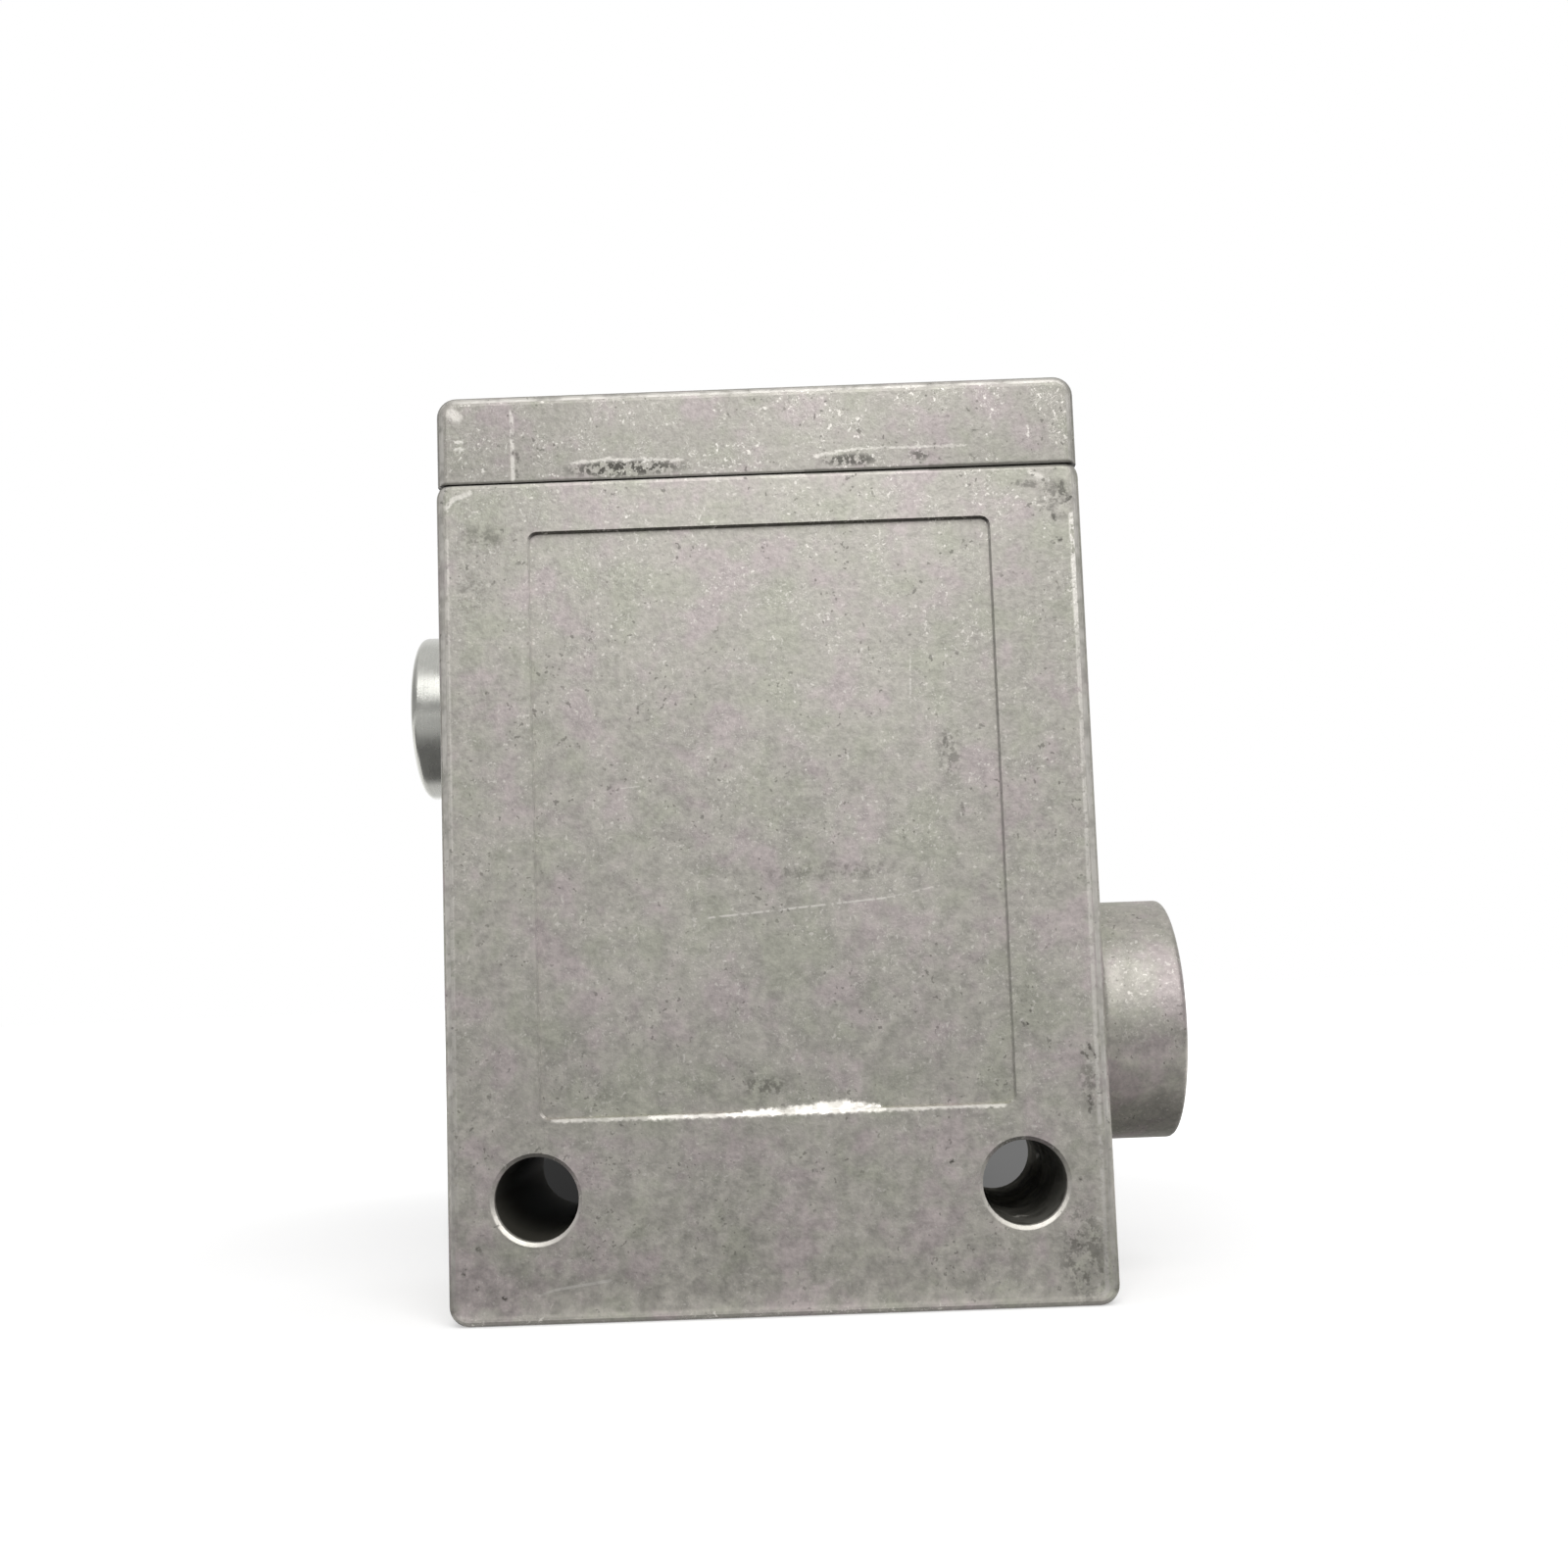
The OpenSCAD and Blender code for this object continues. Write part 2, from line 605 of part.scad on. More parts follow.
// The receiver nozzle: an open skirt with four windows, an inlet cone, a throat and a long diffuser
module receiver_nozzle() {
    inlet_x = receiver_x + skirt_len;
    throat_x = inlet_x + inlet_cone_len;
    diffuser_x = throat_x + throat_len;
    color(BRASS) difference() {
        bar_x(cartridge_d - 2 * fit_gap, receiver_x, clip_x, ejector_z);
        bar_x(skirt_d, receiver_x - CUT, inlet_x, ejector_z);
        cone_x(receiver_inlet_d, throat_d, inlet_x - EPS, throat_x, ejector_z);
        bar_x(throat_d, throat_x - EPS, diffuser_x + EPS, ejector_z);
        cone_x(throat_d, receiver_exit_d, diffuser_x, clip_x + EPS, ejector_z);
        for (turn = [0, 90]) translate([window_x, 0, ejector_z]) rotate([turn, 0, 0])
            cylinder(d = window_d, h = cartridge_d + CUT, center = true);
        o_ring_groove(receiver_seal_x, ejector_z, cartridge_d);
    }
}

module receiver_o_ring() {
    o_ring(receiver_seal_x, ejector_z, cartridge_d);
}

// The spring ring behind the receiver nozzle, open at the top between two eyes
module retaining_ring() {
    outer_r = clip_groove_d / 2 - fit_gap;
    inner_r = cartridge_d / 2 - clip_reach;
    eye_hole_r = eye_r / 2;
    gap_angle = 12;                                 // half of the opening
    eye_angle = 2 * gap_angle;
    color(STEEL) along_x(clip_x + fit_gap, ejector_z) linear_extrude(clip_t) difference() {
        union() {
            difference() {
                circle(r = outer_r);
                circle(r = inner_r);
                polygon([[0, 0], [-2 * outer_r, -2 * outer_r * tan(gap_angle)],
                    [-2 * outer_r, 2 * outer_r * tan(gap_angle)]]);
            }
            for (s = [-1, 1]) rotate(180 + s * eye_angle) translate([inner_r, 0]) circle(r = eye_r);
        }
        for (s = [-1, 1]) rotate(180 + s * eye_angle) translate([inner_r, 0]) circle(r = eye_hole_r);
    }
}

// ---------- assembly ----------

housing();
cover();
cover_gasket();
cover_screw(0);  // cover_screw_1
cover_screw(1);  // cover_screw_2
cover_screw(2);  // cover_screw_3
cover_screw(3);  // cover_screw_4
supply_adapter();
adapter_o_ring();
valve_cup();
valve_seat();
seat_o_ring();
jet_nozzle();
jet_o_ring();
receiver_nozzle();
receiver_o_ring();
retaining_ring();
ball_plug();
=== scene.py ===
"""Looks for the vacuum ejector: materials, wear, threads, studio and camera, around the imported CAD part.

Lengths are in millimetres unless a comment says metres, in the part's own frame: +X right, +Y back, +Z up.
The origin is the centre of the vacuum port's mouth, in the base.
"""

import json
import math

import bpy
from mathutils import Matrix, Vector


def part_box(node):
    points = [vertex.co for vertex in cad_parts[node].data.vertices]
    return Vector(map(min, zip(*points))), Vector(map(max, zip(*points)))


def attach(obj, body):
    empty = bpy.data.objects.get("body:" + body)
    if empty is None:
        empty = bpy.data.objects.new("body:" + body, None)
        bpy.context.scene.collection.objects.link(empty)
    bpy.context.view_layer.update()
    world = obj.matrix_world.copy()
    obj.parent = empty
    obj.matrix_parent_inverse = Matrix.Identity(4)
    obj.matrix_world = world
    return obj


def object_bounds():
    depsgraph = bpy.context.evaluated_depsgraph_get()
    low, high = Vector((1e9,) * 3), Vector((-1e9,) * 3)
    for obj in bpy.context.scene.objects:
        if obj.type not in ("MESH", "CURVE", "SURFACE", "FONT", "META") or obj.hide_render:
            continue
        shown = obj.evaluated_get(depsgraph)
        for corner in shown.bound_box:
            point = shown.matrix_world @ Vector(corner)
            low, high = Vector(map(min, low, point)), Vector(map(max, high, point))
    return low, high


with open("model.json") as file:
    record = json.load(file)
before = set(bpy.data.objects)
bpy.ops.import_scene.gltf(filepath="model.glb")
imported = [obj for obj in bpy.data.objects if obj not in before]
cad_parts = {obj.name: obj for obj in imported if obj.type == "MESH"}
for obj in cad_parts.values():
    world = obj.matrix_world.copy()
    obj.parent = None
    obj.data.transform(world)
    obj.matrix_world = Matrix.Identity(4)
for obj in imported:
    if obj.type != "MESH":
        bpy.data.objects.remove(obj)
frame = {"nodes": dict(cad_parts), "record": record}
CAD_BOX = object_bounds()
RECORD = frame["record"]
MM = 0.001


# ---------------------------------------------------------------- named values

# Colours are linear.
WHITE = (1.0, 1.0, 1.0)
CAST_GREY = (0.426, 0.408, 0.370)
CAST_GREEN = (0.406, 0.402, 0.346)
CAST_PINK = (0.450, 0.403, 0.394)
CAST_FLECK_AND_HIGHLIGHT = (0.680, 0.655, 0.610)
CAST_DARK = (0.070, 0.066, 0.055)
# The holes' near-black walls are painted shade.
HOLE_SHADE = (0.026, 0.024, 0.017)
HOLE_FILM = (0.085, 0.082, 0.070)
HOLE_DEEP = (0.300, 0.290, 0.245)
TURNED_GREY = (0.530, 0.530, 0.495)
BRASS = (0.560, 0.360, 0.120)
BRASS_STAIN = tuple(0.62 * c for c in BRASS)
STEEL = (0.430, 0.430, 0.435)
STEEL_DULL = tuple(0.78 * c for c in STEEL)
RUBBER = (0.012, 0.012, 0.013)
RUBBER_DUST = (0.045, 0.044, 0.042)

SIDE = 26.0            # half the housing's width
FRONT = -13.0          # y of its front face
PANEL = -12.55         # y of the sunk panel's floor
MID_WALL = -12.78      # y halfway down its walls
PANEL_SIDE = 18.6      # half its width
PANEL_FOOT = 14.0      # a height between the mounting holes and the panel
LID_FRONT = -12.9      # y of the cover's front
COVER_Z = 66.65        # height of the cover's lower edge
HOLE_R = 3.3           # radius of the mounting holes
HOLE_PAIR = next(m for m in RECORD["mounts"] if m["name"] == "mounting_holes")
HOLE_X, HOLE_Z = HOLE_PAIR["dims"]["spacing_x_mm"] / 2, HOLE_PAIR["pos_m"][2] / MM

# Shading normals are turned toward these, in the part's frame, by these shares.
FRONT_FACE = (0.0, -1.0, 0.0)
WORN_FACE = (0.06, -0.92, 0.38)    # it mirrors the lamp in the main view
SIDE_WALL_TURN, UPPER_RIM_TURN = 0.62, 0.75

# Round a mounting hole: the radii between which each zone fades, then the y where two of them do.
HOLE_WALL = (HOLE_R + 0.02, HOLE_R + 0.10)
LOWER_RIM = (HOLE_R + 0.20, HOLE_R + 0.36)
UPPER_RIM = (HOLE_R + 0.50, HOLE_R + 0.60)
RIM_BACK, WALL_START = (FRONT + 0.3, FRONT + 0.5), (FRONT + 0.3, FRONT + 1.2)
RIM_SPLIT = (-1.5, 0.5)            # heights from the axis between which the lower half becomes the upper
LOWER_RIM_SHINE = 0.50

# The rubbed edges, worn and with a painted highlight, by how squarely the surface faces front or back, then
# by how far it faces up.
EDGE_INNER, EDGE_OUTER, EDGE_UP = (0.995, 0.96), (0.62, 0.82), (-0.15, -0.02)

# Painted light and shade on the casting's grey: from, to, and the share added at each. These go by height,
# ...
LIGHT_FOOT = (3.0, 26.0, 0.13, 0.0)
DARK_HEAD = (24.0, 50.0, 0.0, -0.06)
DARK_CORNER_X, DARK_CORNER_Z = (8.0, 24.0), (38.0, 60.0, 0.0, -0.08)
# ... this by how far the surface faces up, ...
DARK_UNDERSIDE = (-0.20, -0.70, 0.0, -0.58)
# ... and this is for the whole cover.
COVER_SHARE = -0.16
# Bands of it: rise, top, end, fall, share. One goes by how far the surface faces left, two by height.
LEFT_EDGE_BAND = (0.25, 0.50, 0.92, 0.99, -0.18)
BOSS_DARK_BAND = (23.5, 25.5, 27.0, 29.0, -0.06)
BOSS_LIGHT_BAND = (14.5, 16.5, 18.5, 20.5, 0.42)

# Noise in the casting: scale per mm, detail, roughness, distortion. The values after it say how it is cut:
# from, to and, where they aren't 0 and 1, the results there. A name in _AT is a shift in mm, which keeps
# one noise from lying in line with another.
SPAN = (0.3, 0.7)                  # nearly all of a noise lies between these
WOBBLE, WOBBLE_REACH = (2.4, 2.0, 0.7), 0.55
BROAD, BROAD_TONE = (0.07, 1.0, 0.55), (*SPAN, 0.96, 1.05)
HUES, HUES_AT = (0.17, 3.0, 0.68), (31.0, 7.0, 3.0)
GREENER, PINKER = (0.50, 0.64), (0.50, 0.36)
PINK_CORNER = ((-23.0, FRONT, 2.2), (5.5, 3.0, 4.0), 0.16)    # a patch: centre, half size, strength
CLOUD, CLOUD_TONE, CLOUD_ROUGH = (0.7, 2.0, 0.6), (*SPAN, -0.10, 0.10), (*SPAN, 0.46, 0.58)
BLOT, BLOT_AT, BLOT_TONE = (1.9, 2.0, 0.6), (9.0, 4.0, 6.0), (0.28, 0.72, -0.09, 0.09)
GRAIN, GRAIN_TONE = (4.8, 1.0, 0.6), (*SPAN, -0.04, 0.04)
SQUIGGLES, SQUIGGLE_LINE = (1.5, 1.0, 0.5, 1.8), (0.012, 0.004)
FLECKS = (2.7, 1.0), (0.64, 0.70)
FLECK_CLUSTERS = (0.42, 2.0, 0.6), (0.43, 0.56)
FLECK_STRENGTH, BOSS_FLECKS = 0.58, 0.6
SCRATCH_BREAKS = (1.5, 2.0, 0.7), (0.36, 0.52)
BURNISH_BREAKS = (1.1, 2.0, 0.7), (0.38, 0.60, 0.80, 1.0)
SHINE_BREAKS = (0.6, 2.0, 0.7), (0.36, 0.62, 0.30, 0.90)
PITS, PITS_AT, PIT_STRENGTH = ((2.5, 1.0), (0.34, 0.28)), (3.0, 8.0, 1.0), 0.52
PIT_CLUSTERS = (0.35, 2.0, 0.6), (0.48, 0.60)
DARK_BREAKS = (2.2, 2.0, 0.75), (0.40, 0.56, 0.35, 1.0)
CHIP_GRAINS = (2.0, 2.0, 0.7), (0.46, 0.56)
DIRT_GRAINS = (1.5, 2.0, 0.75), (0.44, 0.60)
FILM_BREAKS = (0.35, 2.0, 0.6), (0.38, 0.58, 0.35, 1.0)
FILM_ACROSS, FILM_BACK = (-20.0, 20.0), (-10.0, 4.0)    # x and y between which the holes' dark walls get paler

# The casting's roughness, metallic and relief: what each adds, or how much of it counts.
LIGHT_ROUGH, BOSS_ROUGH, HOLE_WALL_ROUGH, ROUGHEST = -0.10, 0.06, 0.6, 0.95
CAST_METALLIC, COVERED_LOSS, DARK_MARKS_COVER = 0.85, 0.8, 0.6
GRAIN_RELIEF, CAST_BUMP, CAST_RELIEF = 0.35, 0.40, 0.06 * MM

# Each stroke below: start, end, width, strength. One shorter than DOT is a dot.
DOT = 0.21
# Bare metal in the right mounting hole's dark wall.
HOLE_NICKS = [
    ((HOLE_X - 0.3, -7.6, HOLE_Z - HOLE_R), (HOLE_X + 0.1, -6.6, HOLE_Z - HOLE_R), 0.30, 0.80),
    ((HOLE_X + 0.1, -6.6, HOLE_Z - HOLE_R), (HOLE_X + 0.6, -7.4, HOLE_Z - HOLE_R), 0.26, 0.70),
    ((HOLE_X + HOLE_R, 4.4, HOLE_Z + 0.4), (HOLE_X + HOLE_R, 6.6, HOLE_Z), 0.34, 0.60),
    ((HOLE_X + 3.1, 7.0, HOLE_Z - 1.0), (HOLE_X + 3.1, 7.8, HOLE_Z - 1.1), 0.30, 0.35),
]
# Light scratches and rubbed lines, broken up. Those along the block's outer edges and beside the panel are
# partly painted highlights.
LIGHT_STROKES = [
    ((-5.0, PANEL, 31.0), (9.1, PANEL, 32.1), 0.12, 0.85),
    ((9.1, PANEL, 32.1), (13.3, PANEL, 32.9), 0.10, 0.50),
    ((-19.3, FRONT, 2.2), (-17.6, FRONT, 2.75), 0.15, 0.60),
    ((-17.6, FRONT, 2.75), (-13.4, FRONT, 3.3), 0.17, 1.00),
    ((-19.7, LID_FRONT, 72.6), (-19.65, LID_FRONT, 66.8), 0.24, 0.55),
    ((-12.0, PANEL, 41.5), (-9.5, PANEL, 41.7), 0.09, 0.50),
    ((11.8, PANEL, 51.5), (11.65, PANEL, 47.3), 0.11, 0.45),
    # Along the block's outer edges: wear and a painted highlight.
    ((25.2, FRONT, 62.3), (25.2, FRONT, 53.0), 0.34, 0.90),
    ((25.2, FRONT, 53.0), (25.0, FRONT, 20.0), 0.26, 0.65),
    ((25.0, FRONT, 20.0), (24.9, FRONT, 1.2), 0.26, 0.85),
    ((-25.2, FRONT, 8.0), (-25.1, FRONT, 62.0), 0.26, 0.50),
    # Beside the panel: wear and a painted highlight.
    ((-18.28, FRONT, 59.5), (-18.28, FRONT, 17.0), 0.14, 0.45),
    ((18.30, FRONT, 60.0), (18.30, FRONT, 38.0), 0.14, 0.45),
    ((18.30, FRONT, 38.0), (18.30, FRONT, 17.0), 0.12, 0.25),
]
# Light marks that are whole; some are painted highlights.
BRIGHT_STROKES = [
    ((-24.3, LID_FRONT, 70.15), (-23.75, LID_FRONT, 70.13), 0.17, 0.75),
    ((-24.3, LID_FRONT, 69.58), (-23.70, LID_FRONT, 69.56), 0.17, 0.75),
    # A painted highlight on the cover's upper-left corner.
    ((-24.6, LID_FRONT, 72.6), (-24.1, LID_FRONT, 72.2), 0.60, 0.65),
    ((-14.8, LID_FRONT, 68.10), (-12.0, LID_FRONT, 68.22), 0.22, 0.55),
    ((-12.0, LID_FRONT, 68.22), (-8.5, LID_FRONT, 68.12), 0.26, 0.60),
    ((-8.5, LID_FRONT, 68.12), (-6.0, LID_FRONT, 68.02), 0.20, 0.45),
    ((4.8, LID_FRONT, 67.9), (8.0, LID_FRONT, 68.4), 0.20, 0.50),
    ((8.0, LID_FRONT, 68.4), (17.0, LID_FRONT, 68.4), 0.17, 0.32),
    # A painted highlight round the housing's upper-left corner.
    ((-25.1, FRONT, 64.75), (-24.4, FRONT, 65.45), 0.34, 0.70),
    ((-24.4, FRONT, 65.45), (-23.2, FRONT, 65.80), 0.32, 0.65),
    ((22.0, FRONT, 65.9), (22.9, FRONT, 65.55), 0.30, 0.40),
    ((24.0, FRONT, 6.75), (24.9, FRONT, 6.65), 0.15, 0.80),
    # A painted highlight on the housing's lower-right corner.
    ((25.0, FRONT, 1.5), (24.6, FRONT, 1.0), 0.32, 0.75),
    ((24.5, FRONT, 18.7), (25.1, FRONT, 18.0), 0.38, 0.55),
    ((23.95, FRONT, 20.0), (24.1, FRONT, 19.9), 0.18, 0.60),
    ((19.2, FRONT, 22.1), (19.3, FRONT, 22.1), 0.20, 0.60),
] + HOLE_NICKS
# The panel's lower edge, pressed flat so that it mirrors the lamp, and also lighter in colour: a painted
# highlight.
BURNISH_AND_HIGHLIGHT_STROKES = [
    ((-17.6, FRONT, 15.66), (-10.0, FRONT, 15.66), 0.32, 0.52),
    ((-10.0, FRONT, 15.66), (-3.0, FRONT, 15.66), 0.38, 0.72),
    ((-4.0, FRONT, 15.66), (8.2, FRONT, 15.70), 0.40, 0.82),
    ((8.0, FRONT, 15.66), (17.6, FRONT, 15.66), 0.30, 0.52),
    ((-2.6, MID_WALL, 15.72), (7.8, MID_WALL, 15.80), 0.46, 0.88),
    ((-1.4, PANEL, 15.60), (7.4, PANEL, 15.78), 0.46, 0.80),
    ((1.0, PANEL, 15.80), (6.6, PANEL, 15.95), 0.48, 0.80),
    ((3.0, PANEL, 15.98), (5.6, PANEL, 16.10), 0.52, 0.80),
]
# Painted shade in the seam under the cover, widest at the right.
SEAM_STROKES = [
    ((-25.5, LID_FRONT, 66.63), (4.0, LID_FRONT, 66.63), 0.27, 0.80),
    ((4.0, LID_FRONT, 66.63), (14.0, LID_FRONT, 66.61), 0.33, 0.95),
    ((14.0, LID_FRONT, 66.61), (25.7, LID_FRONT, 66.59), 0.40, 1.00),
]
# Dark nicks, specks and stains.
DARK_STROKES = [
    ((13.30, FRONT, 11.50), (13.35, FRONT, 11.50), 0.30, 1.00),
    ((-23.60, FRONT, 6.00), (-23.50, FRONT, 5.95), 0.30, 1.00),
    ((-24.60, FRONT, 4.60), (-24.70, FRONT, 4.10), 0.28, 0.85),
    ((-23.70, FRONT, 3.10), (-23.50, FRONT, 3.05), 0.30, 1.00),
    ((-21.60, FRONT, 2.20), (-21.50, FRONT, 2.15), 0.28, 1.00),
    ((24.40, FRONT, 20.00), (24.92, FRONT, 19.10), 0.19, 0.85),
    ((23.85, FRONT, 19.50), (24.53, FRONT, 18.85), 0.19, 0.75),
    ((24.20, FRONT, 17.35), (24.30, FRONT, 16.20), 0.30, 0.50),
    ((24.29, FRONT, 16.05), (24.33, FRONT, 15.45), 0.34, 0.85),
    ((24.33, FRONT, 15.30), (24.23, FRONT, 15.00), 0.30, 0.75),
    ((19.27, FRONT, 21.98), (19.45, FRONT, 21.75), 0.16, 0.95),
    ((19.45, FRONT, 21.75), (19.70, FRONT, 21.85), 0.18, 0.95),
    ((19.96, FRONT, 22.80), (19.98, FRONT, 22.75), 0.20, 0.75),
    ((19.30, FRONT, 23.65), (19.60, FRONT, 23.60), 0.24, 0.50),
    ((24.35, FRONT, 64.90), (24.70, FRONT, 63.80), 0.60, 0.75),
    ((23.50, FRONT, 64.85), (24.05, FRONT, 64.60), 0.45, 0.45),
    ((24.68, FRONT, 63.45), (25.25, FRONT, 63.76), 0.18, 0.85),
    ((23.40, FRONT, 62.90), (23.95, FRONT, 63.15), 0.32, 0.45),
    ((23.77, FRONT, 62.50), (23.74, FRONT, 62.05), 0.32, 0.80),
    ((23.57, FRONT, 60.20), (23.60, FRONT, 60.10), 0.24, 0.80),
    ((24.15, FRONT, 60.38), (24.20, FRONT, 60.25), 0.28, 0.80),
    ((25.17, FRONT, 59.25), (25.17, FRONT, 59.15), 0.18, 0.70),
    ((21.10, FRONT, 65.10), (22.40, FRONT, 64.90), 0.40, 0.50),
    ((23.20, FRONT, 9.82), (23.22, FRONT, 9.78), 0.24, 0.85),
    ((23.35, FRONT, 6.00), (23.50, FRONT, 5.20), 0.50, 0.50),
    ((22.79, FRONT, 4.72), (22.81, FRONT, 4.68), 0.28, 0.75),
    ((24.25, FRONT, 4.50), (24.50, FRONT, 2.80), 0.32, 0.65),
    ((22.14, FRONT, 3.78), (22.15, FRONT, 3.75), 0.24, 0.65),
    ((21.20, FRONT, 1.50), (21.25, FRONT, 1.52), 0.28, 0.75),
    ((16.00, FRONT, 1.90), (16.60, FRONT, 2.10), 0.18, 0.60),
    ((14.26, PANEL, 45.10), (14.37, PANEL, 44.00), 0.32, 0.60),
    ((15.40, PANEL, 39.40), (15.50, PANEL, 38.40), 0.20, 0.45),
    ((-21.75, FRONT, 62.15), (-21.10, FRONT, 62.00), 0.50, 0.50),
    ((-23.50, FRONT, 62.20), (-22.40, FRONT, 62.30), 0.36, 0.32),
    ((-19.36, FRONT, 59.95), (-19.32, FRONT, 59.95), 0.30, 0.50),
    ((-22.10, FRONT, 49.50), (-22.10, FRONT, 49.60), 0.24, 0.70),
    ((-19.25, LID_FRONT, 69.00), (-19.25, LID_FRONT, 68.30), 0.20, 0.55),
    ((-19.30, LID_FRONT, 67.60), (-19.30, LID_FRONT, 67.10), 0.20, 0.60),
]
# Each patch: centre, half size, strength. Small chips fill these, and soft dirt the others.
CHIP_PATCHES = [
    ((-10.6, LID_FRONT, 67.50), (6.4, 3.0, 0.95), 1.00),
    ((7.6, LID_FRONT, 67.50), (3.2, 3.0, 0.70), 0.85),
    ((13.2, LID_FRONT, 67.70), (1.2, 3.0, 0.60), 0.70),
]
DIRT_PATCHES = [
    ((23.2, FRONT, 4.2), (2.6, 3.0, 5.5), 0.62),
    ((24.0, FRONT, 63.6), (1.8, 3.0, 2.6), 0.50),
    ((24.3, FRONT, 17.0), (1.0, 3.0, 2.8), 0.50),
    ((-22.3, FRONT, 62.0), (2.6, 3.0, 1.6), 0.40),
    ((-22.0, FRONT, 3.0), (4.6, 3.0, 3.6), 0.20),
    ((-23.2, FRONT, 57.5), (1.6, 3.0, 2.6), 0.32),
    ((-1.0, PANEL, 17.7), (2.8, 3.0, 1.1), 0.62),
    ((14.6, PANEL, 43.5), (1.4, 3.0, 3.0), 0.46),
    ((4.0, PANEL, 34.4), (9.5, 3.0, 1.0), 0.36),
]

THREADS = {  # mount: pitch, depth, node whose finish it has
    "vacuum_port": (1.337, 0.856, "housing"),
    "exhaust_port": (1.337, 0.856, "housing"),
    "supply_port": (0.907, 0.581, "supply_adapter"),
}
THREAD_STEPS = 64                                  # per turn
THREAD_EMBED = 0.03                                # how far the ridge's foot stands in the wall
THREAD_FOOT, THREAD_CREST = 0.44, 0.09             # half the ridge's width there and at its top, in pitches
THREAD_LEAD = 0.3                                  # pitches from the mouth, and from the thread's end
THREAD_FADE, THREAD_LOW = 0.4, 0.02                # turns in which it rises, and its height at the ends

CAMERA_AT = (2.93, -151.93, 25.61)
CAMERA_TURN, CAMERA_UP, CAMERA_SPIN = 0.20, 5.563, -2.045    # degrees
CAMERA_LENS, CAMERA_SHIFT = 40.5, (-0.0094, 0.0175)

LAMP_AWAY = 0.34                                   # metres from the part's middle
LAMP_UP, LAMP_SIDE = 38.0, 9.0                     # degrees above and to the right of the front
LAMP_SIZE, LAMP_POWER = (0.26, 0.20), 0.68         # metres, watts
SKY_LEVEL = 0.50                                   # the world's light on matt surfaces
ROOM_LEVEL = 0.46                                  # what polished metal mirrors from behind the camera
# How that turns white toward the back, and then upward.
ROOM_BACK, ROOM_TOP = (0.05, 0.60), (0.55, 0.95, 0.0, 0.75)

FLAG_NEAR, FLAG_FAR = 0.24, 0.66                   # greys of the card that only mirrors, near and far
FLAG_FADE = (-110.0, -55.0)                        # y between which one grey becomes the other
# Metres: half the card's width, the y of its front edge, and half its width beside the part.
FLAG_HALF, FLAG_FRONT, FLAG_BESIDE = 0.30, -0.60, 0.06

FLOOR_RADIUS = 3.0                                 # metres
FLOOR_PAPER = (0.78, 0.80)                         # its grey
FLOOR_NEAR, FLOOR_FAR, FLOOR_GLOW = 50.0, 220.0, 0.42    # its own glow rises to 1 away from the part
# The painted shadow on the floor behind the part, which no lamp casts: x and y of its middle, then half its
# size.
SHADE_AT, SHADE_HALF = (-1.5, 75.0), (26.0, 85.0)
SHADE_SPREAD, SHADE_ROUND = 0.165, 4.0             # how fast it widens, and how square it is
# Its edge fades between these shares of its size. In front it begins between these y.
SHADE_FADE, SHADE_START = (0.84, 1.12), (-8.0, 8.0)
SHADE_LEFT, SHADE_RIGHT = 0.07, 0.34               # how much of the light the floor gives back in the painted shadow
SHADE_ACROSS = (-25.0, 30.0)                       # x between which the one becomes the other


# ---------------------------------------------------------------- node helper

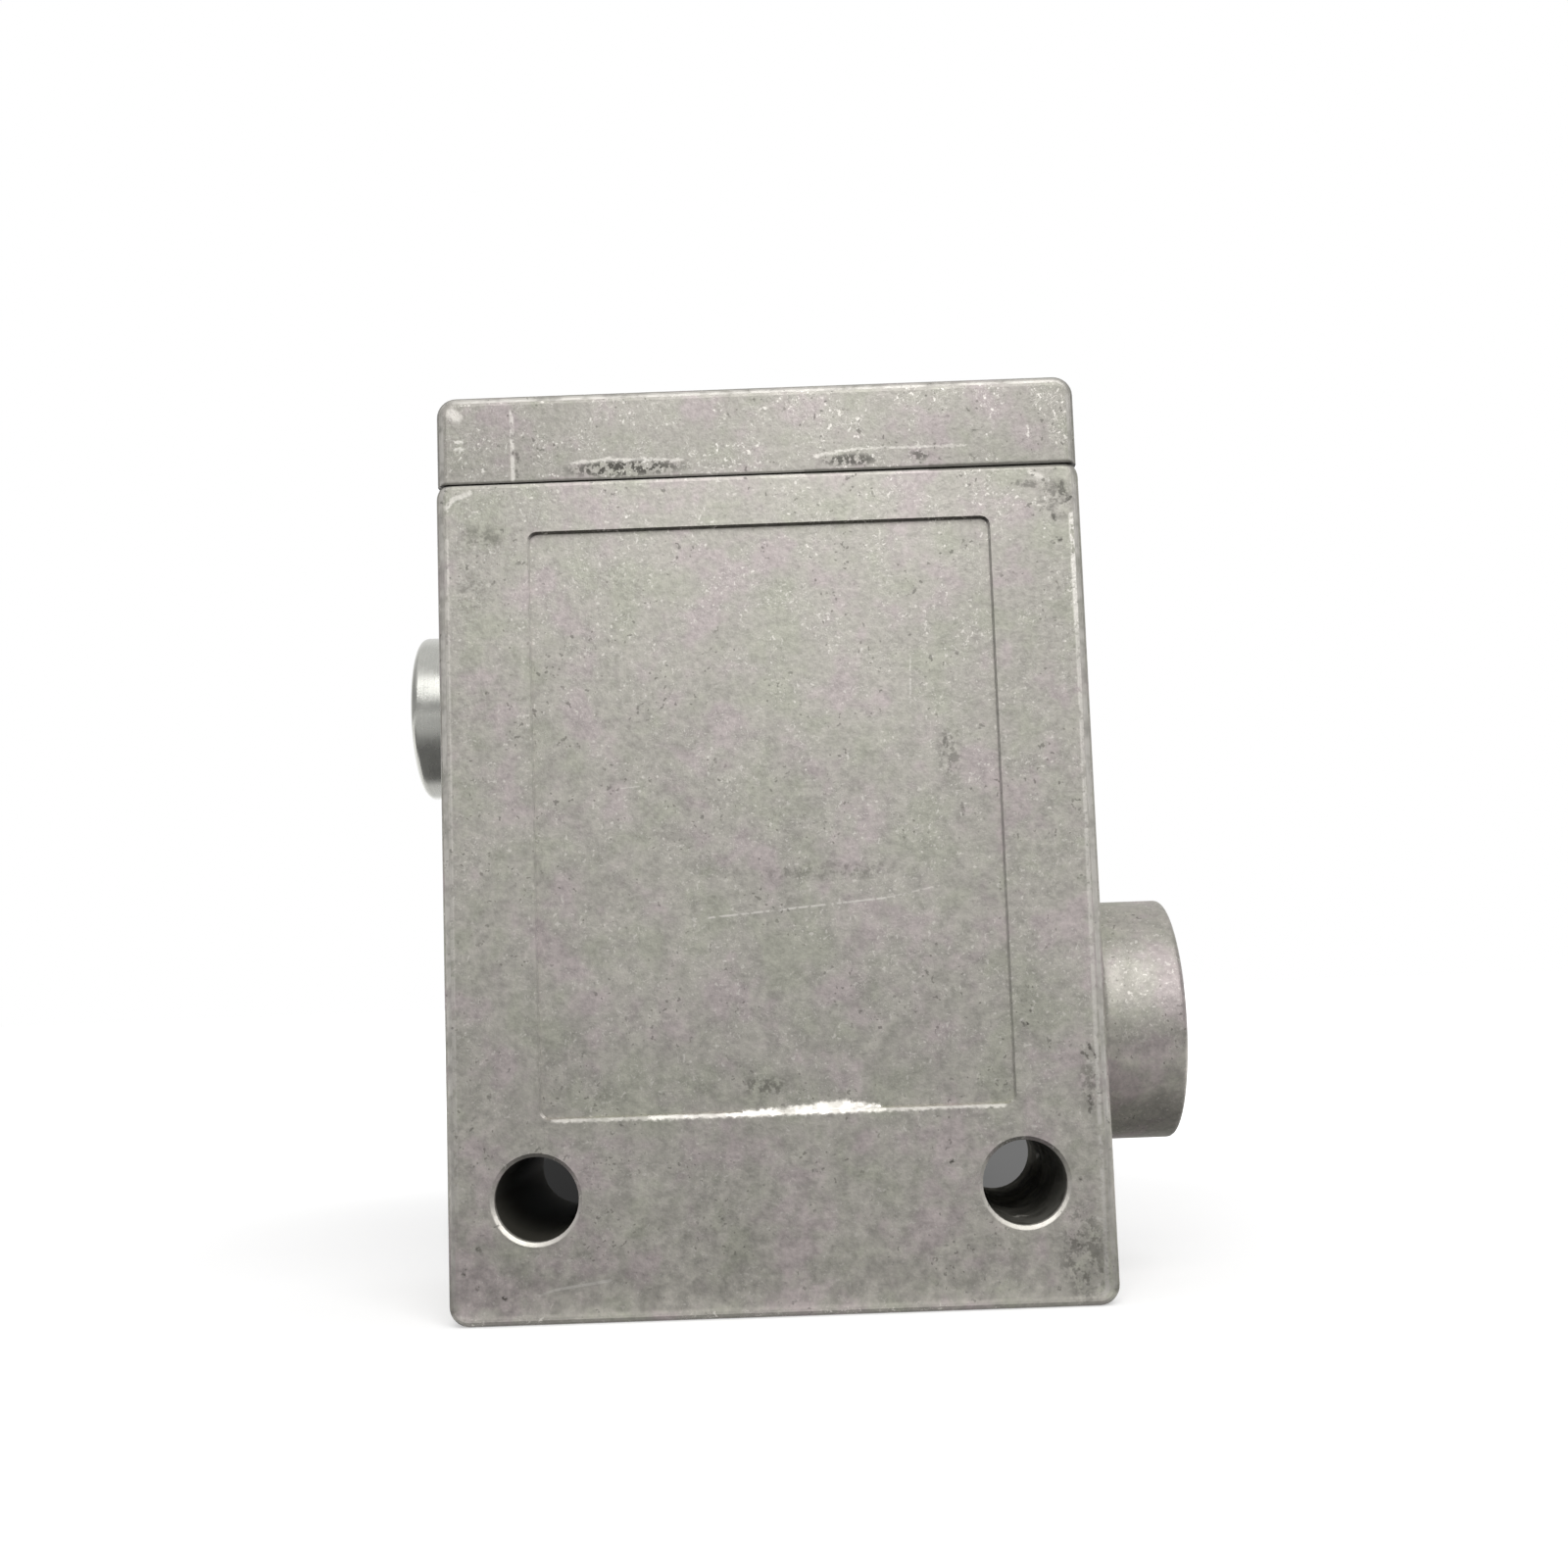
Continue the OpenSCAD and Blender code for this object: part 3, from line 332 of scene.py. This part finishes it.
class Graph:
    """Adds nodes to a material and joins them, so that a material reads as a few lines."""

    def __init__(self, name):
        self.material = bpy.data.materials.new(name)
        self.material.use_nodes = True
        self.tree = self.material.node_tree
        self.tree.nodes.clear()

    @classmethod
    def on(cls, tree):
        """The same helper on a tree that exists already, such as the world's."""
        g = cls.__new__(cls)
        g.tree = tree
        return g

    def put(self, socket, value):
        if isinstance(value, bpy.types.NodeSocket):
            self.tree.links.new(value, socket)
        elif isinstance(value, tuple) and socket.type == "RGBA" and len(value) == 3:
            socket.default_value = (*value, 1.0)
        else:
            socket.default_value = value

    def node(self, kind, inputs=None, **settings):
        n = self.tree.nodes.new(kind)
        for key, value in settings.items():
            setattr(n, key, value)
        for key, value in (inputs or {}).items():
            self.put(n.inputs[key], value)
        return n

    def math(self, operation, a, b=0.0):
        return self.node("ShaderNodeMath", {0: a, 1: b}, operation=operation).outputs[0]

    def plus(self, a, b):
        return self.math("ADD", a, b)

    def minus(self, a, b):
        return self.math("SUBTRACT", a, b)

    def times(self, a, b):
        return self.math("MULTIPLY", a, b)

    def larger(self, a, b):
        return self.math("MAXIMUM", a, b)

    def absolute(self, a):
        return self.math("ABSOLUTE", a)

    def diagonal(self, a, b):
        """The length of the two together, at right angles."""
        return self.math("SQRT", self.plus(self.times(a, a), self.times(b, b)))

    def vector(self, operation, a, b=(0.0, 0.0, 0.0)):
        n = self.node("ShaderNodeVectorMath", {0: a, 1: b}, operation=operation)
        return n.outputs["Value" if operation in ("LENGTH", "DOT_PRODUCT", "DISTANCE") else "Vector"]

    def scaled(self, a, factor):
        n = self.node("ShaderNodeVectorMath", {0: a, "Scale": factor}, operation="SCALE")
        return n.outputs["Vector"]

    def step(self, value, low, high, to_low=0.0, to_high=1.0):
        """A smooth step of value between low and high, left unclamped to spare the shader's stack."""
        n = self.node("ShaderNodeMapRange", {"Value": value, "From Min": low, "From Max": high,
                                             "To Min": to_low, "To Max": to_high},
                      interpolation_type="SMOOTHSTEP", clamp=False)
        return n.outputs["Result"]

    def fade(self, value, low, high):
        """1 below low and 0 above high."""
        return self.step(value, low, high, 1.0, 0.0)

    def mix(self, factor, a, b, blend="MIX"):
        n = self.node("ShaderNodeMix", data_type="RGBA", blend_type=blend, clamp_factor=True)
        for index, value in ((0, factor), (6, a), (7, b)):
            self.put(n.inputs[index], value)
        return n.outputs[2]

    def toned(self, colour, tone):
        return self.mix(1.0, colour, self.grey(tone), "MULTIPLY")

    def noise(self, point, scale, detail=2.0, roughness=0.5, distortion=0.0, output="Fac"):
        n = self.node("ShaderNodeTexNoise", {"Vector": point, "Scale": scale, "Detail": detail,
                                             "Roughness": roughness, "Distortion": distortion})
        return n.outputs[output]

    def cut(self, point, noise, limits):
        """A step of a noise, as the pairs above have it."""
        return self.step(self.noise(point, *noise), *limits)

    def cells(self, point, scale):
        n = self.node("ShaderNodeTexVoronoi", {"Vector": point, "Scale": scale})
        return n.outputs["Distance"], n.outputs["Color"]

    def parts(self, vector):
        n = self.node("ShaderNodeSeparateXYZ", {0: vector})
        return n.outputs[0], n.outputs[1], n.outputs[2]

    def joined(self, x, y, z):
        return self.node("ShaderNodeCombineXYZ", {0: x, 1: y, 2: z}).outputs[0]

    def grey(self, value):
        return self.joined(value, value, value)

    def millimetres(self):
        """The point on the part, in millimetres in the part's frame."""
        place = self.node("ShaderNodeTexCoord")
        return self.scaled(place.outputs["Object"], 1.0 / MM)

    def normal(self):
        return self.node("ShaderNodeTexCoord").outputs["Normal"]

    def finish(self, colour, roughness, metallic, height, bump, depth, turns=()):
        """The shader, its relief, and its normal turned toward each facing by a share."""
        shader = self.node("ShaderNodeBsdfPrincipled", {"Base Color": colour, "Roughness": roughness,
                                                        "Metallic": metallic})
        relief = self.node("ShaderNodeBump", {"Height": height, "Strength": bump, "Distance": depth})
        normal = relief.outputs[0]
        for share, facing in turns:
            away = self.vector("SUBTRACT", facing, normal)
            normal = self.vector("NORMALIZE", self.vector("ADD", normal, self.scaled(away, share)))
        self.put(shader.inputs["Normal"], normal)
        self.node("ShaderNodeOutputMaterial", {"Surface": shader.outputs[0]})
        return self.material


def stroke(g, point, start, end, width, strength):
    """A mask along the line from start to end, or a dot where they are close together."""
    a, b = Vector(start), Vector(end)
    along = b - a
    if along.length < DOT:
        away = g.vector("DISTANCE", point, tuple((a + b) / 2))
    else:
        from_a = g.vector("SUBTRACT", point, tuple(a))
        share = g.vector("DOT_PRODUCT", from_a, tuple(along / along.length_squared))
        share = g.math("MINIMUM", g.larger(share, 0.0), 1.0)
        away = g.vector("DISTANCE", from_a, g.scaled(tuple(along), share))
    return g.step(away, 0.3 * width, width, strength, 0.0)


def patch(g, point, centre, size, strength):
    """A mask in an ellipsoid, full in its middle."""
    from_centre = g.vector("SUBTRACT", point, centre)
    away = g.vector("LENGTH", g.vector("DIVIDE", from_centre, size))
    return g.step(away, 0.35, 1.0, strength, 0.0)


def union(g, masks):
    """The largest of the masks. Each is joined as it is made, so that few wait on the shader's stack."""
    result = None
    for m in masks:
        result = m if result is None else g.larger(result, m)
    return result


def strokes(g, point, table):
    return union(g, (stroke(g, point, *row) for row in table))


def patches(g, point, table):
    return union(g, (patch(g, point, *row) for row in table))


# ---------------------------------------------------------------- the casting

def holes(g, point):
    """1 in the mounting holes' walls, which are painted dark as shade, then 1 on the upper and 1 on the
    lower half of their rims.
    """
    x, y, z = g.parts(point)
    off_x = g.minus(g.absolute(x), HOLE_X)
    off_z = g.minus(z, HOLE_Z)
    radius = g.diagonal(off_x, off_z)
    inside = g.fade(radius, *HOLE_WALL)
    lower = g.times(g.fade(radius, *LOWER_RIM), g.step(off_z, *reversed(RIM_SPLIT)))
    upper = g.times(g.fade(radius, *UPPER_RIM), g.step(off_z, *RIM_SPLIT))
    upper = g.times(upper, g.fade(y, *RIM_BACK))
    return g.times(inside, g.step(y, *WALL_START)), upper, lower


def side_walls(g, point):
    """1 on the panel's side walls, which are too worn to be seen as a clear step."""
    x, _, z = g.parts(point)
    sideways = g.step(g.absolute(g.parts(g.normal())[0]), 0.25, 0.60)
    near = g.fade(g.absolute(x), PANEL_SIDE, PANEL_SIDE + 0.4)
    return g.times(g.times(sideways, near), g.step(z, PANEL_FOOT, PANEL_FOOT + 0.6))


def edge_wear_and_highlight(g, point):
    """1 on the inner half of the block's rounded front and back edges, save low down and on the boss: wear
    and a painted highlight.
    """
    _, ny, nz = g.parts(g.normal())
    ny = g.absolute(ny)
    turned = g.times(g.step(ny, *EDGE_INNER), g.step(ny, *EDGE_OUTER))
    turned = g.times(turned, g.step(nz, *EDGE_UP))
    x = g.parts(point)[0]
    return g.times(turned, g.fade(x, SIDE + 0.05, SIDE + 0.25))


def band(g, value, rise, top, end, fall, height):
    """height between top and end, and 0 below rise and above fall."""
    return g.times(g.step(value, rise, top, 0.0, height), g.fade(value, end, fall))


def painted_light_and_shade(g, x, z, on_cover, on_boss):
    """Painted light and shade on the casting's grey: darker on the cover, lighter low down, banded round
    the boss.
    """
    block = g.plus(g.step(z, *LIGHT_FOOT), g.times(on_cover, COVER_SHARE))
    block = g.plus(block, g.step(z, *DARK_HEAD))
    block = g.plus(block, g.times(g.step(x, *DARK_CORNER_X), g.step(z, *DARK_CORNER_Z)))
    nx, _, nz = g.parts(g.normal())
    block = g.plus(block, band(g, g.times(nx, -1.0), *LEFT_EDGE_BAND))
    block = g.plus(block, g.step(nz, *DARK_UNDERSIDE))
    boss = g.plus(band(g, z, *BOSS_DARK_BAND), band(g, z, *BOSS_LIGHT_BAND))
    change = g.mix(on_boss, g.grey(block), g.grey(boss))
    return g.plus(g.parts(change)[0], 1.0)


def bare_casting(g, p, x, z, on_cover, on_boss):
    """The casting's colour with its painted light and shade but without marks, then the three noises that
    its roughness and relief share.
    """
    broad = g.noise(p, *BROAD)
    hues = g.noise(g.vector("ADD", p, HUES_AT), *HUES)
    hues = g.minus(hues, patch(g, p, *PINK_CORNER))
    cloud = g.noise(p, *CLOUD)
    blot = g.noise(g.vector("ADD", p, BLOT_AT), *BLOT)
    grain = g.noise(p, *GRAIN)
    colour = g.mix(g.step(hues, *GREENER), CAST_GREY, CAST_GREEN)
    colour = g.mix(g.step(hues, *PINKER), colour, CAST_PINK)
    tone = g.plus(g.step(broad, *BROAD_TONE), g.step(cloud, *CLOUD_TONE))
    tone = g.plus(tone, g.step(blot, *BLOT_TONE))
    tone = g.plus(tone, g.step(grain, *GRAIN_TONE))
    # Painted light and shade, by height, facing and place.
    tone = g.times(tone, painted_light_and_shade(g, x, z, on_cover, on_boss))
    return g.toned(colour, tone), cloud, blot, grain


def flecks(g, p, on_boss):
    """Light flecks and squiggles, in clusters."""
    near_half = g.absolute(g.minus(g.noise(p, *SQUIGGLES), 0.5))
    clusters = g.cut(p, *FLECK_CLUSTERS)
    fleck = g.larger(g.step(near_half, *SQUIGGLE_LINE), g.cut(p, *FLECKS))
    return g.times(fleck, g.larger(clusters, g.times(on_boss, BOSS_FLECKS)))


def light_marks(g, p, shaken, on_boss):
    """Flecks, scratches, rubbed places and painted highlights, then the burnished ones with their painted
    highlight, the holes' walls painted as shade, and the upper rims.
    """
    fleck = flecks(g, p, on_boss)
    light = strokes(g, p, LIGHT_STROKES)
    light = g.times(light, g.cut(p, *SCRATCH_BREAKS))
    bright = strokes(g, shaken, BRIGHT_STROKES)
    burnish_and_highlight = strokes(g, shaken, BURNISH_AND_HIGHLIGHT_STROKES)
    burnish_and_highlight = g.times(burnish_and_highlight, g.cut(p, *BURNISH_BREAKS))
    # The rounded edges: wear and a painted highlight.
    edge_light = g.times(edge_wear_and_highlight(g, p), g.cut(p, *SHINE_BREAKS))
    hole_shade, upper_rim, lower_rim = holes(g, p)
    hole_shade = g.times(hole_shade, g.minus(1.0, bright))
    # The holes' lower rims get a painted highlight.
    burnish_and_highlight = g.larger(burnish_and_highlight, g.times(lower_rim, LOWER_RIM_SHINE))
    light = union(g, [light, bright, burnish_and_highlight, edge_light, g.times(fleck, FLECK_STRENGTH)])
    return light, burnish_and_highlight, hole_shade, upper_rim


def dark_marks(g, p, shaken):
    """Pits, dark marks, chips, dirt and the painted shade in the seam."""
    pits = g.times(g.cut(g.vector("ADD", p, PITS_AT), *PITS), g.cut(p, *PIT_CLUSTERS))
    dark = g.times(strokes(g, shaken, DARK_STROKES), g.cut(p, *DARK_BREAKS))
    dark = g.larger(dark, g.times(pits, PIT_STRENGTH))
    chips = patches(g, p, CHIP_PATCHES)
    chips = g.times(chips, g.cut(p, *CHIP_GRAINS))
    dirt = patches(g, shaken, DIRT_PATCHES)
    dirt = g.times(dirt, g.cut(p, *DIRT_GRAINS))
    return union(g, [dark, chips, dirt, strokes(g, p, SEAM_STROKES)])


def hole_colour(g, p, x, y):
    """Painted shade, near black, with a film that is paler on the right and deep inside."""
    film = g.times(g.step(x, *FILM_ACROSS), g.cut(p, *FILM_BREAKS))
    film_colour = g.mix(g.step(y, *FILM_BACK), HOLE_FILM, HOLE_DEEP)
    return g.mix(film, HOLE_SHADE, film_colour)


def cast_aluminium():
    """Tumbled die casting: matte, with green and pink patches, flecks, pits, scratches, chips and dirt, and
    painted light, shade and highlights.
    """
    g = Graph("cast_aluminium")
    p = g.millimetres()
    wobble = g.noise(p, *WOBBLE, output="Color")
    shaken = g.vector("ADD", p, g.scaled(g.vector("SUBTRACT", wobble, (0.5, 0.5, 0.5)), WOBBLE_REACH))
    x, y, z = g.parts(p)
    on_cover = g.step(z, COVER_Z - 0.1, COVER_Z)
    on_boss = g.step(x, SIDE + 0.1, SIDE + 0.4)

    colour, cloud, blot, grain = bare_casting(g, p, x, z, on_cover, on_boss)
    light, burnish_and_highlight, hole_shade, upper_rim = light_marks(g, p, shaken, on_boss)
    # Flecks, scratches, wear and painted highlights, in a lighter grey.
    colour = g.mix(light, colour, CAST_FLECK_AND_HIGHLIGHT)
    dark = dark_marks(g, p, shaken)
    colour = g.mix(dark, colour, CAST_DARK)
    # The holes' walls, painted near black as shade.
    colour = g.mix(hole_shade, colour, hole_colour(g, p, x, y))

    rough = g.plus(g.step(cloud, *CLOUD_ROUGH), g.times(light, LIGHT_ROUGH))
    rough = g.plus(rough, g.times(on_boss, BOSS_ROUGH))
    rough = g.math("MINIMUM", g.plus(rough, g.times(hole_shade, HOLE_WALL_ROUGH)), ROUGHEST)
    covered = g.larger(hole_shade, g.times(dark, DARK_MARKS_COVER))
    metal = g.minus(CAST_METALLIC, g.times(covered, COVERED_LOSS))
    height = g.plus(g.times(grain, GRAIN_RELIEF), blot)
    flatter = g.larger(g.times(side_walls(g, p), SIDE_WALL_TURN), g.times(upper_rim, UPPER_RIM_TURN))
    return g.finish(colour, rough, metal, height, CAST_BUMP, CAST_RELIEF,
                    [(flatter, FRONT_FACE), (burnish_and_highlight, WORN_FACE)])


# ---------------------------------------------------------------- other materials

def turned_aluminium():
    """Bright turned aluminium, with fine tool lines round its axis."""
    g = Graph("turned_aluminium")
    p = g.millimetres()
    low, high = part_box("supply_adapter")
    axis_z = (low.z + high.z) / 2 / MM
    lines_per_mm = 9.0
    x, y, z = g.parts(p)
    up = g.minus(z, axis_z)
    radius = g.diagonal(y, up)
    tool = g.joined(g.times(x, lines_per_mm), 0.0, g.times(radius, lines_per_mm))
    lines = g.noise(tool, 1.0, 3.0, 0.6)
    smear = g.noise(p, 0.7, 4.0, 0.6)
    tone = g.plus(g.step(lines, *SPAN, 0.92, 1.06), g.step(smear, *SPAN, -0.05, 0.05))
    colour = g.toned(TURNED_GREY, tone)
    distance, kind = g.cells(p, 0.8)
    nick = g.times(g.step(distance, 0.10, 0.05), g.step(g.parts(kind)[1], 0.82, 0.84))
    colour = g.mix(g.times(nick, 0.5), colour, CAST_DARK)
    rough = g.step(smear, *SPAN, 0.22, 0.31)
    return g.finish(colour, rough, 1.0, lines, 0.25, 0.01 * MM)


def turned_brass():
    """Turned brass, stained here and there, with lines round the X axis."""
    g = Graph("brass")
    p = g.millimetres()
    lines = g.noise(g.vector("MULTIPLY", p, (8.0, 0.6, 0.6)), 1.0, 3.0, 0.6)
    stain = g.noise(p, 0.5, 4.0, 0.6)
    colour = g.mix(g.step(stain, 0.45, 0.70), BRASS, BRASS_STAIN)
    return g.finish(colour, g.step(lines, *SPAN, 0.24, 0.38), 1.0, lines, 0.2, 0.01 * MM)


def plated_steel():
    """Plated steel, cloudy and slightly grained."""
    g = Graph("steel")
    p = g.millimetres()
    cloud = g.noise(p, 0.9, 4.0, 0.6)
    colour = g.mix(g.step(cloud, 0.35, 0.65), STEEL, STEEL_DULL)
    rough = g.step(cloud, *SPAN, 0.26, 0.42)
    return g.finish(colour, rough, 1.0, g.noise(p, 5.0, 2.0), 0.15, 0.01 * MM)


def rubber():
    """Black rubber with a little pale dust."""
    g = Graph("rubber")
    p = g.millimetres()
    dust = g.noise(p, 1.4, 4.0, 0.6)
    colour = g.mix(g.step(dust, 0.5, 0.8, 0.0, 0.5), RUBBER, RUBBER_DUST)
    rough = g.step(dust, *SPAN, 0.55, 0.72)
    return g.finish(colour, rough, 0.0, g.noise(p, 4.0, 2.0), 0.2, 0.02 * MM)


def dress(materials):
    """Gives each CAD node the material of its slot in the record."""
    for part in RECORD["subparts"]:
        for s in frame["nodes"][part["node"]].material_slots:
            s.material = materials[part["material_slot"]]


def linked(name, data):
    """A new object of the data, in the scene."""
    obj = bpy.data.objects.new(name, data)
    bpy.context.scene.collection.objects.link(obj)
    return obj


# ---------------------------------------------------------------- port threads

def thread_ridge(port, pitch, depth):
    """Corners and faces of a ridge wound along the port's plain wall."""
    axis = Vector(port["axis"])
    side = axis.orthogonal().normalized()
    across = axis.cross(side)
    wall = port["dims"]["r_mm"]
    run = port["dims"]["length_mm"] - 2 * THREAD_LEAD * pitch
    count = int(run / pitch * THREAD_STEPS)
    rise = THREAD_FADE * THREAD_STEPS
    verts, faces = [], []
    for i in range(count + 1):
        turn = 2 * math.pi * i / THREAD_STEPS
        fade = min(1.0, i / rise, (count - i) / rise)
        deep = THREAD_LEAD * pitch + pitch * i / THREAD_STEPS
        foot, crest = wall + THREAD_EMBED, wall - depth * max(fade, THREAD_LOW)
        for r, back in ((foot, THREAD_FOOT), (crest, THREAD_CREST),
                        (crest, -THREAD_CREST), (foot, -THREAD_FOOT)):
            around = side * math.cos(turn) + across * math.sin(turn)
            verts.append(Vector(port["pos_m"]) + (around * r - axis * (deep - back * pitch)) * MM)
    for i in range(count):
        a = 4 * i
        faces += [(a + k, a + k + 1, a + k + 5, a + k + 4) for k in range(3)] + [(a + 3, a, a + 4, a + 7)]
    faces += [(0, 1, 2, 3), (4 * count + 3, 4 * count + 2, 4 * count + 1, 4 * count)]
    return verts, faces


def port_thread(mount, pitch, depth, like_node, materials):
    """The ridge of a port's female thread, in the finish of the node around it."""
    port = next(m for m in RECORD["mounts"] if m["name"] == mount)
    verts, faces = thread_ridge(port, pitch, depth)
    mesh = bpy.data.meshes.new(mount + "_thread")
    mesh.from_pydata([tuple(v) for v in verts], [], faces)
    mesh.validate()
    mesh.update()
    obj = linked(mount + "_thread", mesh)
    finish = next(s["material_slot"] for s in RECORD["subparts"] if s["node"] == like_node)
    mesh.materials.append(materials[finish])
    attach(obj, "block")


# ---------------------------------------------------------------- studio

def painted_shadow_behind_part(g, point):
    """1 in the painted shadow on the floor behind the part. No light casts it."""
    x, y, _ = g.parts(point)
    half = g.plus(g.times(y, SHADE_SPREAD), SHADE_HALF[0])
    across = g.math("POWER", g.math("DIVIDE", g.absolute(g.minus(x, SHADE_AT[0])), half), SHADE_ROUND)
    along = g.math("DIVIDE", g.absolute(g.minus(y, SHADE_AT[1])), SHADE_HALF[1])
    out = g.math("POWER", g.plus(across, g.math("POWER", along, SHADE_ROUND)), 1.0 / SHADE_ROUND)
    return g.times(g.fade(out, *SHADE_FADE), g.step(y, *SHADE_START))


def floor():
    """A pale floor that shows white to the camera, keeps the part's soft shadow, and has a painted shadow
    behind the part.
    """
    bpy.ops.mesh.primitive_circle_add(vertices=96, radius=FLOOR_RADIUS, fill_type="NGON",
                                      location=(0, 0, CAD_BOX[0][2]))
    obj = bpy.context.object
    obj.name = "floor"
    g = Graph("floor")
    path = g.node("ShaderNodeLightPath")
    seen = union(g, [path.outputs[n] for n in ("Is Camera Ray", "Is Glossy Ray", "Is Transmission Ray")])
    p = g.millimetres()
    paper = g.step(g.noise(p, 0.02, 3.0), *SPAN, *FLOOR_PAPER)
    open_floor = g.minus(1.0, painted_shadow_behind_part(g, p))
    deep = g.step(g.parts(p)[0], *SHADE_ACROSS, SHADE_LEFT, SHADE_RIGHT)
    paper = g.times(paper, g.larger(open_floor, deep))
    matt = g.node("ShaderNodeBsdfDiffuse", {"Color": g.grey(paper)})
    away = g.vector("LENGTH", p)
    glow = g.times(g.step(away, FLOOR_NEAR, FLOOR_FAR, FLOOR_GLOW, 1.0), open_floor)
    glow = g.node("ShaderNodeEmission", {"Color": WHITE, "Strength": g.times(seen, glow)})
    both = g.node("ShaderNodeAddShader", {0: matt.outputs[0], 1: glow.outputs[0]})
    g.node("ShaderNodeOutputMaterial", {"Surface": both.outputs[0]})
    obj.data.materials.append(g.material)


def sky():
    """White where it is seen or mirrored, and a soft level where it lights matt surfaces."""
    world = bpy.data.worlds.new("studio")
    bpy.context.scene.world = world
    world.use_nodes = True
    world.node_tree.nodes.clear()
    g = Graph.on(world.node_tree)
    path = g.node("ShaderNodeLightPath")
    mirrored = union(g, [path.outputs[n] for n in ("Is Glossy Ray", "Is Transmission Ray")])
    _, y, z = g.parts(g.node("ShaderNodeTexCoord").outputs["Generated"])
    backdrop = g.larger(g.step(y, *ROOM_BACK), g.step(z, *ROOM_TOP))
    room = g.plus(g.times(backdrop, 1.0 - ROOM_LEVEL), ROOM_LEVEL)
    level = g.mix(mirrored, (SKY_LEVEL,) * 3, room)
    level = g.mix(path.outputs["Is Camera Ray"], level, WHITE)
    back = g.node("ShaderNodeBackground", {"Color": level, "Strength": 1.0})
    g.node("ShaderNodeOutputWorld", {"Surface": back.outputs[0]})


def flag():
    """A grey card flat on the floor, in front of the part and beside it. It only mirrors in the metal."""
    z = CAD_BOX[0][2] + 0.2 * MM
    low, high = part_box("housing")
    front, left, right = low.y - 2 * MM, low.x - 1 * MM, SIDE * MM + 1 * MM
    verts, faces = [], []
    for x0, y0, x1, y1 in ((-FLAG_HALF, FLAG_FRONT, FLAG_HALF, front), (-FLAG_BESIDE, front, left, high.y),
                           (right, front, FLAG_BESIDE, high.y)):
        n = len(verts)
        verts += [(x0, y0, z), (x1, y0, z), (x1, y1, z), (x0, y1, z)]
        faces.append((n, n + 1, n + 2, n + 3))
    mesh = bpy.data.meshes.new("flag")
    mesh.from_pydata(verts, [], faces)
    obj = linked("flag", mesh)
    obj.visible_camera = obj.visible_diffuse = obj.visible_shadow = obj.visible_transmission = False
    g = Graph("flag")
    p = g.millimetres()
    grey = g.step(g.parts(p)[1], *FLAG_FADE, FLAG_FAR, FLAG_NEAR)
    grey = g.times(grey, g.step(g.noise(p, 0.05, 2.0), *SPAN, 0.9, 1.1))
    card = g.node("ShaderNodeBsdfDiffuse", {"Color": g.grey(grey)})
    g.node("ShaderNodeOutputMaterial", {"Surface": card.outputs[0]})
    mesh.materials.append(g.material)


def tilted(about_z, about_x):
    """A turn about X and then about Z, in degrees."""
    return Matrix.Rotation(math.radians(about_z), 4, "Z") @ Matrix.Rotation(math.radians(about_x), 4, "X")


def lamp():
    """One wide soft lamp, above and in front of the part."""
    data = bpy.data.lights.new("lamp", "AREA")
    data.shape = "RECTANGLE"
    data.size, data.size_y = LAMP_SIZE
    data.energy = LAMP_POWER
    obj = linked("lamp", data)
    middle = (Vector(CAD_BOX[0]) + Vector(CAD_BOX[1])) / 2
    out = Matrix.Translation((0, 0, LAMP_AWAY))
    obj.matrix_world = Matrix.Translation(middle) @ tilted(LAMP_SIDE, 90 - LAMP_UP) @ out


def camera():
    """The photo's camera, as fitted to its outline."""
    data = bpy.data.cameras.new("camera")
    data.sensor_width = 36.0
    data.lens = CAMERA_LENS
    data.shift_x, data.shift_y = CAMERA_SHIFT
    data.clip_start, data.clip_end = 0.005, 20.0
    obj = linked("camera", data)
    spun = Matrix.Rotation(math.radians(CAMERA_SPIN), 4, "Z")
    place = Matrix.Translation(Vector(CAMERA_AT) * MM)
    obj.matrix_world = place @ tilted(CAMERA_TURN, 90 + CAMERA_UP) @ spun
    bpy.context.scene.camera = obj


# ---------------------------------------------------------------- the scene

MATERIALS = {
    "cast_aluminium": cast_aluminium(),
    "turned_aluminium": turned_aluminium(),
    "brass": turned_brass(),
    "steel": plated_steel(),
    "rubber": rubber(),
}
dress(MATERIALS)
for port_name, (port_pitch, port_depth, port_node) in THREADS.items():
    port_thread(port_name, port_pitch, port_depth, port_node, MATERIALS)
floor()
flag()
sky()
lamp()
camera()
bpy.context.scene.view_settings.view_transform = "Standard"

bpy.context.view_layer.update()
